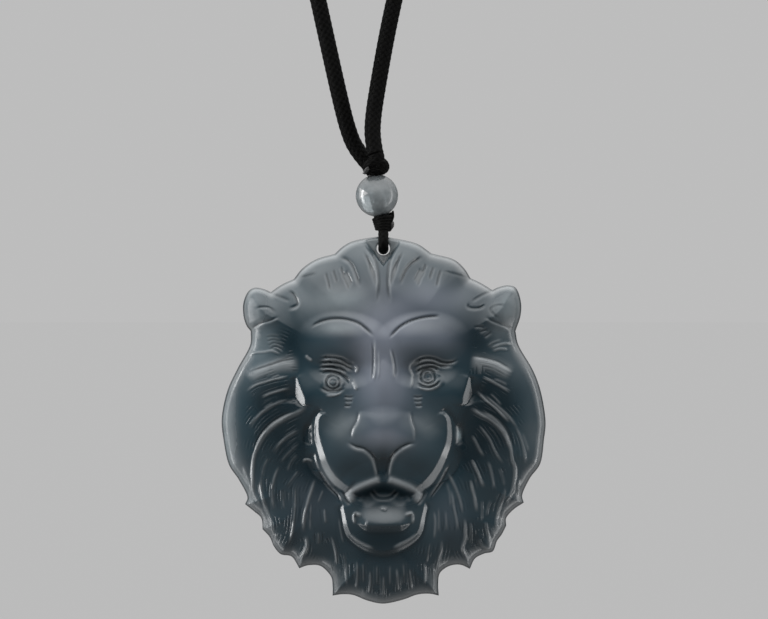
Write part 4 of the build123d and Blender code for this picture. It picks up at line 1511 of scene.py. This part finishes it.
    def raise_walls(self, x: Array, y: Array, height: Array, crests: Sequence[Array]) -> tuple[Array, Array]:
        """Adds walls, in order.

        Args:
            x: Places across the drawing.
            y: Places down the drawing.
            height: Thickness in mm without walls.
            crests: Thickness along the crest of each wall to add, before it is added.

        Returns:
            Thickness in mm with the walls, and how near the foot of one each place is,
            which sets the painted shade at the foot.
        """
        foot = np.zeros(x.shape)
        for wall, heights in zip(WALLS, crests):
            path = curve_points(wall.points, FINE_STEPS)
            gap, side, along = nearest(x, y, path)
            at = travelled(path)
            crest = np.interp(along, at / at[-1], heights)
            width = wall.start_width + (wall.end_width - wall.start_width) * along
            rise = wall.slope * width / UNITS_PER_MM
            ends = both_ends(wall.tip, along)
            level = ends + (both_ends(wall.fade, along) - ends) * smooth_step(0.0, WALL_BLEND, gap)
            low = side * wall.side < 0
            up, down = wall.lift * rise, (1.0 - wall.lift) * rise
            beyond = smooth_step(0.0, 1.0, 1.0 - (gap - width) / wall.reach)
            fall = wall.slope * np.minimum(gap, width) + wall.ledge * np.maximum(gap - width, 0.0)
            drop = crest + up * ends - fall / UNITS_PER_MM
            floor = height - down * level * np.where(gap > width, beyond, 1.0)
            below = np.where(low & (gap < FOOT_REACH * width), np.maximum(floor - drop, 0.0), FAR)
            # painted shade at the foot of a wall
            foot += bell(below, FOOT_WIDTH_MM) * (below > 0.0) * ends
            raised = height + up * level * np.clip(1.0 - gap / wall.reach, 0.0, 1.0) ** wall.bulge
            height = np.where(low, np.maximum(floor, drop), raised)
        return height, np.clip(foot, 0.0, 1.0)

    def wall_crests(self, rim: Array) -> list[Array]:
        """Works out where each wall starts from.

        Args:
            rim: Points of the outline.

        Returns:
            Thickness in mm along each wall's crest, before that wall is added.
        """
        crests: list[Array] = []
        for wall in WALLS:
            x, y = curve_points(wall.points, FINE_STEPS).T
            crests.append(self.raise_walls(x, y, self.plain(x, y, rim)[0], crests)[0])
        return crests

    def hairs(self, x: Array, y: Array, edge: Array) -> Array:
        """Where the mane's fine hairs run.

        Args:
            x: Places across the drawing.
            y: Places down the drawing.
            edge: Distance from the rim in mm.

        Returns:
            For each place the distance to the nearest lock's stroke, as a share of
            the span that the hairs are counted over, and how strong the hairs are.
        """
        best, along = np.full(x.shape, np.inf), np.zeros(x.shape)
        for stroke in LOCKS:
            gap, _, share = nearest(x, y, curve_points(stroke.points, HAIR_STEPS))
            along = np.where(gap < best, share, along)
            best = np.minimum(best, gap)
        out = x - DRAWING_MIDDLE
        face = np.hypot(out / self.face_half[0], (y - self.face_down) / self.face_half[1])
        strength = smooth_step(*self.hair_off_face, face) * both_ends(self.hair_fade, along)
        for side in (1, -1):
            ear = np.hypot(side * out + self.ear_out, y - self.ear_down)
            strength *= smooth_step(*self.hair_off_ear, ear)
        low = smooth_step(*self.hair_low, y)
        strength *= smooth_step(*self.hair_top, y) * smooth_step(*self.hair_off_rim, edge)
        strength *= low + (1.0 - low) * smooth_step(*self.hair_off_rim_above, edge)
        return np.column_stack([np.clip(best / self.hair_span, 0.0, 1.0), strength])

    def stone_tone_and_painted_light(self, x: Array, y: Array) -> Array:
        """Adds up the zones of the stone's colour, painted shade and painted highlights.

        Args:
            x: Places across the drawing.
            y: Places down the drawing.

        Returns:
            Shares of dark, mauve, pale and unpolished stone at each place.
        """
        total = np.zeros((len(x), 4))
        for zone in ZONES:
            u, v = turned(x, y, zone)
            total += np.exp(-(u**2 + v**2))[:, None] * (zone.dark, zone.mauve, zone.pale, zone.dull)
        return np.clip(total, 0.0, 1.0)

    def front(self, places: Array, rim: Array) -> tuple[Array, Array, Array, Array]:
        """Works out the carved front.

        Args:
            places: Places on the drawing.
            rim: Points of the outline.

        Returns:
            Thickness in mm at each place, the carving's painted light there, as thinness
            (painted light through thin stone), groove (painted shade) and crest (painted
            highlight), the stone's tones with painted shade and highlights among them, as
            dark, mauve, pale and dull, and the hairs.
        """
        x, y = places.T
        plain, edge = self.plain(x, y, rim)
        half = self.seat_half * (1.0 - (y - self.seat_top) / self.seat_length)
        seat = smooth_step(0.0, self.seat_wall, half - np.abs(x - DRAWING_MIDDLE))

        def seated(height: Array) -> Array:
            """The height, cut down in the seat of the loop."""
            return height * (1.0 - seat) + np.minimum(height, self.seat_thickness) * seat

        height, foot = self.raise_walls(x, y, plain, self.wall_crests(rim))
        cut, groove_shade, crest = self.cut_strokes(x, y)
        height = seated(height + cut * np.clip(edge / self.cuts_margin, 0.0, 1.0))
        # painted dark line round the rim, and painted shade at the feet of walls
        rim_shade_line = 1.0 - smooth_step(*self.rim_shade_line, edge)
        groove_shade = np.clip(groove_shade + self.foot_shade_tone * foot + self.rim_shade_tone * rim_shade_line, 0.0, 1.0)
        # painted light through thin stone
        thin_glow = 1.0 - smooth_step(*self.thin_glow_range, seated(plain))
        return height, np.column_stack([thin_glow, groove_shade, crest]), self.stone_tone_and_painted_light(x, y), self.hairs(x, y, edge)

    def in_frame(self, places: Array, thickness: Array) -> Array:
        """Turns places on the drawing into points.

        Args:
            places: The places.
            thickness: Their heights above the back, in mm.

        Returns:
            The points in the part's frame, in metres.
        """
        x = (places[:, 0] - DRAWING_MIDDLE) / UNITS_PER_MM
        z = HOLE[2] + self.hole_drop - (places[:, 1] - DRAWING_TOP) / UNITS_PER_MM
        y = HOLE[1] + 0.5 * self.seat_thickness - thickness
        return np.column_stack([x, y, z]) * MM

    def hole_gap(self, vert: bmesh.types.BMVert) -> float:
        """Distance of a vertex from the hole's axis, in mm."""
        return math.hypot(vert.co.x / MM - HOLE[0], vert.co.z / MM - HOLE[2])

    def carve_front(self, bm: bmesh.types.BMesh, rim: Array) -> None:
        """Makes the carved front, a grid with the carving's painted light and shade, the stone's tones with painted
        shade and highlights, and the hairs.

        Args:
            bm: The empty head.
            rim: Points of the outline.
        """
        tone, stone, hair = (bm.verts.layers.float_color.new(name) for name in ("carving", "stone", "hair"))
        bmesh.ops.create_grid(bm, x_segments=2 * self.rings, y_segments=2 * self.rings, size=1.0)
        places = self.grid_places(bm.verts, self.rings, rim)
        thickness, *layers = self.front(places, rim)
        for vert, spot, colour, share, lie in zip(bm.verts, self.in_frame(places, thickness), *layers):
            vert.co = spot
            vert[tone] = (*colour, 1.0)
            vert[stone] = tuple(share)
            vert[hair] = (*lie, 0.0, 1.0)

    def open_hole(self, bm: bmesh.types.BMesh) -> tuple[list, list]:
        """Cuts the round hole in the front.

        Args:
            bm: The head's front.

        Returns:
            The edges of its rim and of its hole.
        """
        doomed = [f for f in bm.faces if any(self.hole_gap(v) < self.hole_radius for v in f.verts)]
        bmesh.ops.delete(bm, geom=doomed, context="FACES")
        border = [e for e in bm.edges if e.is_boundary]
        hole = {e for e in border if self.hole_gap(e.verts[0]) < self.hole_reach * self.hole_radius}
        centre = Vector(HOLE) * MM
        for vert in {v for e in hole for v in e.verts}:
            share = self.hole_radius / self.hole_gap(vert)
            vert.co.x = centre.x + (vert.co.x - centre.x) * share
            vert.co.z = centre.z + (vert.co.z - centre.z) * share
        return [e for e in border if e not in hole], [e for e in border if e in hole]

    def build(self) -> None:
        """Builds the head."""
        rim = self.outline(8 * self.rings)
        bm = bmesh.new()
        self.carve_front(bm, rim)
        outer, hole = self.open_hole(bm)
        back_y = (HOLE[1] + 0.5 * self.seat_thickness) * MM
        slab_middle = Vector(self.in_frame(np.array([self.middle]), np.zeros(1))[0])

        def extend(edges: list, y: float, inward: float = 0.0) -> list:
            """Extrudes a loop of edges.

            Args:
                edges: The loop.
                y: The depth that it ends at, in metres.
                inward: How far it moves in towards the slab's middle, in metres.

            Returns:
                The new loop.
            """
            made = bmesh.ops.extrude_edge_only(bm, edges=edges)["geom"]
            for vert in (g for g in made if isinstance(g, bmesh.types.BMVert)):
                way = slab_middle - vert.co
                way.y = 0.0
                vert.co += way.normalized() * inward
                vert.co.y = y
            return [g for g in made if isinstance(g, bmesh.types.BMEdge) and g.is_boundary]

        roll = self.back_roll * MM
        outer = extend(extend(outer, back_y - roll), back_y, roll)
        self.close_back(bm, outer + extend(hole, back_y), rim)
        bmesh.ops.recalc_face_normals(bm, faces=bm.faces[:])
        finish_piece(bm, "carved_lion_head", self.finish.build(), "lion_head", "pendant")

    def close_back(self, bm: bmesh.types.BMesh, border: list, rim: Array) -> None:
        """Fills the flat back, with a coarse grid that carries the stone's tones, painted shade and highlights among
        them, and painted light through thin stone.

        Args:
            bm: The head so far.
            border: Edges of the back's rim and of the hole in it.
            rim: Points of the outline.
        """
        tone, stone = (bm.verts.layers.float_color[name] for name in ("carving", "stone"))
        squares = 2 * self.back_rings
        verts = bmesh.ops.create_grid(bm, x_segments=squares, y_segments=squares, size=1.0)["verts"]
        places = self.grid_places(verts, self.back_rings, rim[:: self.rings // self.back_rings])
        places = np.array(self.middle) + (places - np.array(self.middle)) * self.back_share
        _, tones, shares, _ = self.front(places, rim)
        for vert, spot, colour, share in zip(verts, self.in_frame(places, np.zeros(len(places))), tones, shares):
            vert.co = spot
            vert[tone] = (colour[0], 0.0, 0.0, 1.0)
            dark, mauve, pale = np.multiply(share[:3], self.back_shares)
            vert[stone] = (dark, mauve, pale + self.back_pale, share[3])
        inner = list({e for v in verts for e in v.link_edges if e.is_boundary})
        bmesh.ops.triangle_fill(bm, use_beauty=True, edges=inner + border, normal=(0.0, 1.0, 0.0))


@dataclass
class RoundBead:
    """The drilled bead. Sizes in mm."""

    radius: float = 3.25
    bore_radius: float = 0.75
    lip_share: float = 1.18
    lip_drop: float = 0.12
    lean: float = 14.0
    centre: Point = (-0.99, 0.0, 8.15)
    marks_down: int = 49
    steps_round: int = 96
    finish: ClearBeadStone = field(default_factory=ClearBeadStone)

    def build(self) -> None:
        """Builds the bead by turning its profile round the bore."""
        bm = bmesh.new()
        start = math.asin(self.bore_radius * self.lip_share / self.radius)
        angles = np.linspace(start, math.pi - start, self.marks_down)
        marks = [(self.radius * math.sin(a), self.radius * math.cos(a)) for a in angles]
        lip = marks[0][1] - self.lip_drop
        marks = [(self.bore_radius, lip), *marks, (self.bore_radius, -lip)]
        verts = [bm.verts.new((x * MM, 0.0, z * MM)) for x, z in marks]
        edges = [bm.edges.new(pair) for pair in zip(verts, verts[1:] + verts[:1])]
        whole = 2.0 * math.pi
        steps = self.steps_round
        bmesh.ops.spin(bm, geom=edges, cent=(0, 0, 0), axis=(0, 0, 1), angle=whole, steps=steps, use_merge=True)
        bmesh.ops.remove_doubles(bm, verts=bm.verts[:], dist=WELD)
        set_down(bm, -self.lean, self.centre)
        bmesh.ops.recalc_face_normals(bm, faces=bm.faces[:])
        finish_piece(bm, "round_bead", self.finish.build(), "bead")


@dataclass
class NeckCord:
    """The woven cord that goes round the neck. Sizes in mm."""

    radius: float = 1.25
    relief: float = 0.16
    step: float = 0.25
    finish: BlackCord = field(default_factory=BlackCord)

    # from the left end up, round the neck and down to the right end: x, y
    # behind the hole and z above the cord's right end
    route: tuple[Point, ...] = (
        (-2.5, 1.35, -1.15), (-4.3, 1.3, 0.85), (-5.55, 0.8, 4.1), (-6.65, 0.3, 8.5),
        (-8.35, 0.2, 16.1), (-11.5, 0.8, 30.5), (-17.6, 2.4, 57.0), (-26.8, 5.8, 96.5),
        (-36.4, 11.8, 135.5), (-45.0, 23.0, 171.0), (-51.4, 41.0, 197.5), (-54.0, 65.0, 213.5),
        (-50.4, 89.0, 222.6), (-38.5, 107.4, 227.6), (-20.0, 117.3, 230.0), (0.0, 119.8, 230.5),
        (20.0, 117.4, 229.9), (38.4, 107.6, 227.4), (50.4, 89.3, 222.2), (54.0, 65.2, 212.9),
        (49.8, 41.0, 196.6), (41.6, 23.0, 170.0), (30.8, 11.6, 134.6), (19.6, 5.6, 95.8),
        (9.6, 1.6, 57.2), (4.5, 0.3, 36.0), (1.95, 0.1, 25.0), (0.45, 0.05, 17.9),
        (-0.95, -0.1, 9.9), (-1.6, -0.35, 5.6), (-1.7, -1.05, 2.3), (-1.2, -1.35, 0.0),
    )
    end_height: float = 14.5

    def build(self) -> None:
        """Builds the cord along its route."""
        line = near_line([(x, y, z + self.end_height) for x, y, z in self.route], self.step)
        bm = braided_tube(line, self.radius, self.radius, self.relief, self.finish)
        finish_piece(bm, "woven_neck_cord", self.finish.build(), "neck_cord")


@dataclass
class TopKnot:
    """The two cord ends, knotted above the bead. Sizes in mm from the hole."""

    relief: float = 0.14
    finish: BlackCord = field(default_factory=lambda: BlackCord(name="knotted_cord"))

    # radius at the start and at the end of each strand, and its route: the
    # cord's left and right ends, the turn round them and the turn at the foot
    strands: tuple[tuple[float, float, tuple[Point, ...]], ...] = (
        (1.25, 1.05, ((-2.5, 1.35, 13.35), (-2.05, 1.15, 12.75), (-1.75, 0.9, 12.1), (-1.5, 0.6, 11.6))),
        (1.25, 1.05, ((-1.2, -1.35, 14.5), (-0.85, -1.35, 13.4), (-0.95, -0.9, 12.5), (-1.3, -0.4, 11.6))),
        (0.95, 0.85, ((-2.2, 0.9, 12.35), (-1.3, 1.65, 12.2), (-0.1, 1.2, 12.3), (0.1, -0.2, 12.65),
                      (-0.35, -1.45, 13.2), (-1.5, -1.65, 13.3), (-2.3, -1.1, 12.75), (-2.35, -0.2, 12.2))),
        (0.62, 0.6, ((-2.2, 0.3, 12.0), (-1.6, 1.3, 11.95), (-0.3, 1.1, 11.95), (0.0, -0.3, 12.0),
                     (-0.6, -1.45, 12.15), (-1.8, -1.5, 12.15), (-2.4, -0.8, 12.0))),
    )

    def build(self) -> None:
        """Builds the knot and the melted end that sticks out of it."""
        parts = [
            braided_tube(near_line(route), radius, end_radius, self.relief, self.finish)
            for radius, end_radius, route in self.strands
        ]
        finish_piece(joined(parts), "knotted_cord_ends", self.finish.build(), "top_knot")
        stub = melted_blob(centre=(-2.6, -1.75, 11.95), half=(0.36, 0.36, 0.72), lean=38.0, seed=3.1)
        finish_piece(stub, "melted_end_above", MeltedEnd().build())


@dataclass
class WrapKnot:
    """Thin cord wound round the hanger loop under the bead. Sizes in mm from the hole."""

    turns: int = 5
    first_turn: float = 0.4
    thread: float = 0.29
    relief: float = 0.03
    crown: Point = (-0.08, 0.0, 4.97)
    foot: Point = (0.0, 0.0, 2.86)
    crown_half: Mark = (1.42, 1.8)
    foot_half: Mark = (0.98, 2.05)
    crown_tilt: float = 16.0
    foot_tilt: float = 2.0
    steps: int = 40
    thread_sides: int = 14
    core_step: float = 0.1
    core_sides: int = 32
    end: tuple[Point, ...] = ((1.2, -0.9, 4.1), (1.5, -0.7, 4.7), (1.52, -0.5, 5.3), (1.45, -0.3, 5.75))
    end_radii: Mark = (0.2, 0.16)
    end_relief: float = 0.02
    finish: BlackCord = field(
        default_factory=lambda: BlackCord(name="wound_cord", yarns=4.0, lead_mm=2.2, depth=0.00006)
    )

    def winding(self) -> Array:
        """Line of the winding, in metres."""
        share = np.linspace(0.0, 1.0, self.turns * self.steps + 1)
        angle = 2.0 * np.pi * self.turns * share + self.first_turn
        half = np.outer(1 - share, self.crown_half) + np.outer(share, self.foot_half)
        tilt = np.tan(np.radians(self.crown_tilt + (self.foot_tilt - self.crown_tilt) * share))
        centre = np.outer(1 - share, self.crown) + np.outer(share, self.foot)
        x = half[:, 0] * np.cos(angle)
        y = half[:, 1] * np.sin(angle)
        return (centre + np.column_stack([x, y, x * tilt]) + np.array(HOLE)) * MM

    def oval(self, along_mm: Array, share: Array) -> Array:
        """Gives the shape of the oval plug inside the winding.

        Args:
            along_mm: Place along the plug.
            share: Share of the way round.

        Returns:
            Its radius in metres.
        """
        part = along_mm / along_mm.max()
        wide, deep = (a + (b - a) * part for a, b in zip(self.crown_half, self.foot_half))
        angle = 2.0 * np.pi * share
        return MM / np.hypot(np.cos(angle) / wide, np.sin(angle) / deep)

    def build(self) -> None:
        """Builds the winding, the loop's legs inside it as one plug, and its ends."""
        axis = even_line(np.array([near_hole(*self.crown), near_hole(*self.foot)]), self.core_step * MM)
        parts = [
            braided_tube(self.winding(), self.thread, self.thread, self.relief, self.finish, self.thread_sides),
            tube(axis, self.oval, self.core_sides),
            braided_tube(near_line(self.end), *self.end_radii, self.end_relief, self.finish, self.thread_sides),
        ]
        finish_piece(joined(parts), "wound_cord", self.finish.build(), "wrap_knot")
        stub = melted_blob(centre=(1.35, -1.0, 3.55), half=(0.28, 0.3, 0.62), lean=12.0, seed=7.7)
        finish_piece(stub, "melted_end_below", MeltedEnd(name="melted_end_low").build())


@dataclass
class HangerLoop:
    """The thin cord loop that the head hangs on. Sizes in mm from the hole."""

    radius: float = 0.78
    relief: float = 0.1
    step: float = 0.1
    front: tuple[Mark, ...] = ((-1.0, 3.15), (-2.1, 1.75), (-2.4, 0.4), (-1.2, -0.12))
    finish: BlackCord = field(
        default_factory=lambda: BlackCord(name="loop_cord", yarns=6.0, lead_mm=5.0, depth=0.0001)
    )

    def build(self) -> None:
        """Builds the loop, whose back leg mirrors its front one."""
        route = [(0.0, y, z) for y, z in self.front] + [(0.0, -y, z) for y, z in reversed(self.front)]
        bm = braided_tube(near_line(route, self.step), self.radius, self.radius, self.relief, self.finish)
        finish_piece(bm, "woven_hanger_loop", self.finish.build(), "hanger_loop")


@dataclass
class Studio:
    """Floor, light and camera. Sizes in metres."""

    floor_drop: float = 0.25
    floor_radius: float = 60.0
    floor_grey: Colour = (0.12, 0.12, 0.12, 1)
    glow_share: float = 0.97
    view_width: float = 0.11815
    lens_mm: float = 150.0
    sensor_mm: float = 36.0
    aim: Point = (0.0001, -0.118, -0.25438)
    backdrop: Colour = (0.51, 0.51, 0.51, 1)
    room_low: float = 0.03
    room_top: float = 1.9

    # name, direction to it (right, up, towards the viewer), distance, size,
    # watts and whether polish mirrors it
    light_rows: tuple[tuple[str, Point, float, Mark, float, bool], ...] = (
        ("left_strip", (-1.0, 0.0, 0.0), 0.5, (0.12, 0.5), 1.55, True),
        ("right_strip", (1.0, 0.0, 0.0), 0.5, (0.12, 0.5), 0.45, True),
        ("low_left", (-1.0, -0.9, 0.0), 0.2, (0.05, 0.2), 0.055, True),
        ("low_right", (1.0, -0.9, 0.0), 0.2, (0.05, 0.2), 0.065, True),
        ("front_fill", (-0.3, 0.8, 0.9), 1.0, (0.8, 0.8), 6.0, False),
        ("back_fill", (0.3, 0.5, -0.9), 1.0, (0.8, 0.8), 6.0, False),
    )

    def build(self) -> None:
        """Builds the studio."""
        scene = bpy.context.scene
        scene.view_settings.view_transform = "Standard"
        self.world(scene)
        self.floor()
        self.camera(scene)
        self.lights(scene)

    def world(self, scene: bpy.types.Scene) -> None:
        """Makes a pale backdrop, and a dimmer room that the polish mirrors.

        Args:
            scene: The scene that it is for.
        """
        world = bpy.data.worlds.new("studio_air")
        world.use_nodes = True
        s = Shader(world.node_tree)
        height = s.split("XYZ", s.place("Generated"))[2]
        up = s.math("POWER", s.ramp(height, 0.0, 1.0), 1.3)
        level = s.math("MULTIPLY_ADD", up, self.room_top - self.room_low, self.room_low)
        path = s.node("LightPath")
        seen = s.math("MAXIMUM", path.outputs["Is Camera Ray"], path.outputs["Is Transmission Ray"])
        room = s.mix(1.0, s.mix(seen, WHITE, BLACK), level, "MULTIPLY")
        total = s.mix(1.0, room, s.mix(seen, BLACK, self.backdrop), "ADD")
        s.put_out("World", s.node("Background", {0: total}))
        scene.world = world

    def floor(self) -> None:
        """Adds the plain pale floor."""
        material, s = Shader.material("pale_floor")
        seen = s.math("MULTIPLY", s.node("LightPath").outputs["Is Camera Ray"], self.glow_share)
        matt = s.node("BsdfDiffuse", {0: self.floor_grey}).outputs[0]
        glow = s.node("Emission", {0: self.backdrop}).outputs[0]
        s.put_out("Material", s.node("MixShader", {0: seen, 1: matt, 2: glow}))
        bm = bmesh.new()
        bmesh.ops.create_circle(bm, cap_ends=True, segments=96, radius=self.floor_radius)
        bmesh.ops.translate(bm, verts=bm.verts[:], vec=(0.0, 0.0, HOLE[2] * MM - self.floor_drop))
        floor = new_object(bm, "pale_floor", material)

    def camera(self, scene: bpy.types.Scene) -> None:
        """Looks straight at the head from the front.

        Args:
            scene: The scene that it is for.
        """
        data = bpy.data.cameras.new("camera")
        data.lens = self.lens_mm
        data.sensor_width = self.sensor_mm
        camera = bpy.data.objects.new("camera", data)
        distance = self.view_width * self.lens_mm / self.sensor_mm
        camera.location = Vector(self.aim) + Vector((0.0, -distance, 0.0))
        camera.rotation_euler = (math.radians(90), 0, 0)
        scene.collection.objects.link(camera)
        scene.camera = camera

    def lights(self, scene: bpy.types.Scene) -> None:
        """Adds strip lights at the sides and soft boxes above, in front and behind.

        Args:
            scene: The scene that it is for.
        """
        target = Vector(near_hole(0.0, -6.0, -26.0))
        for name, (right, up, front), distance, (wide, high), watts, mirrored in self.light_rows:
            data = bpy.data.lights.new(name, "AREA")
            data.shape = "RECTANGLE"
            data.size, data.size_y = wide, high
            data.energy = watts
            light = bpy.data.objects.new(name, data)
            way = Vector((right, -front, up)).normalized()
            light.location = target + way * distance
            light.rotation_mode = "QUATERNION"
            light.rotation_quaternion = way.to_track_quat("Z", "Y")
            light.visible_camera = False
            light.visible_glossy = mirrored
            scene.collection.objects.link(light)


def main() -> None:
    """Builds every piece and dresses the solids that stay."""
    logging.basicConfig(level=logging.INFO, format="%(name)s %(message)s", force=True)
    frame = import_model()
    Studio().build()
    CarvedHead().build()
    RoundBead().build()
    NeckCord().build()
    TopKnot().build()
    WrapKnot().build()
    HangerLoop().build()
    thread = frame["nodes"]["bead_thread"]
    thread.data.materials.clear()
    thread.data.materials.append(TwistedThread().build())


if __name__ == "__main__":
    main()
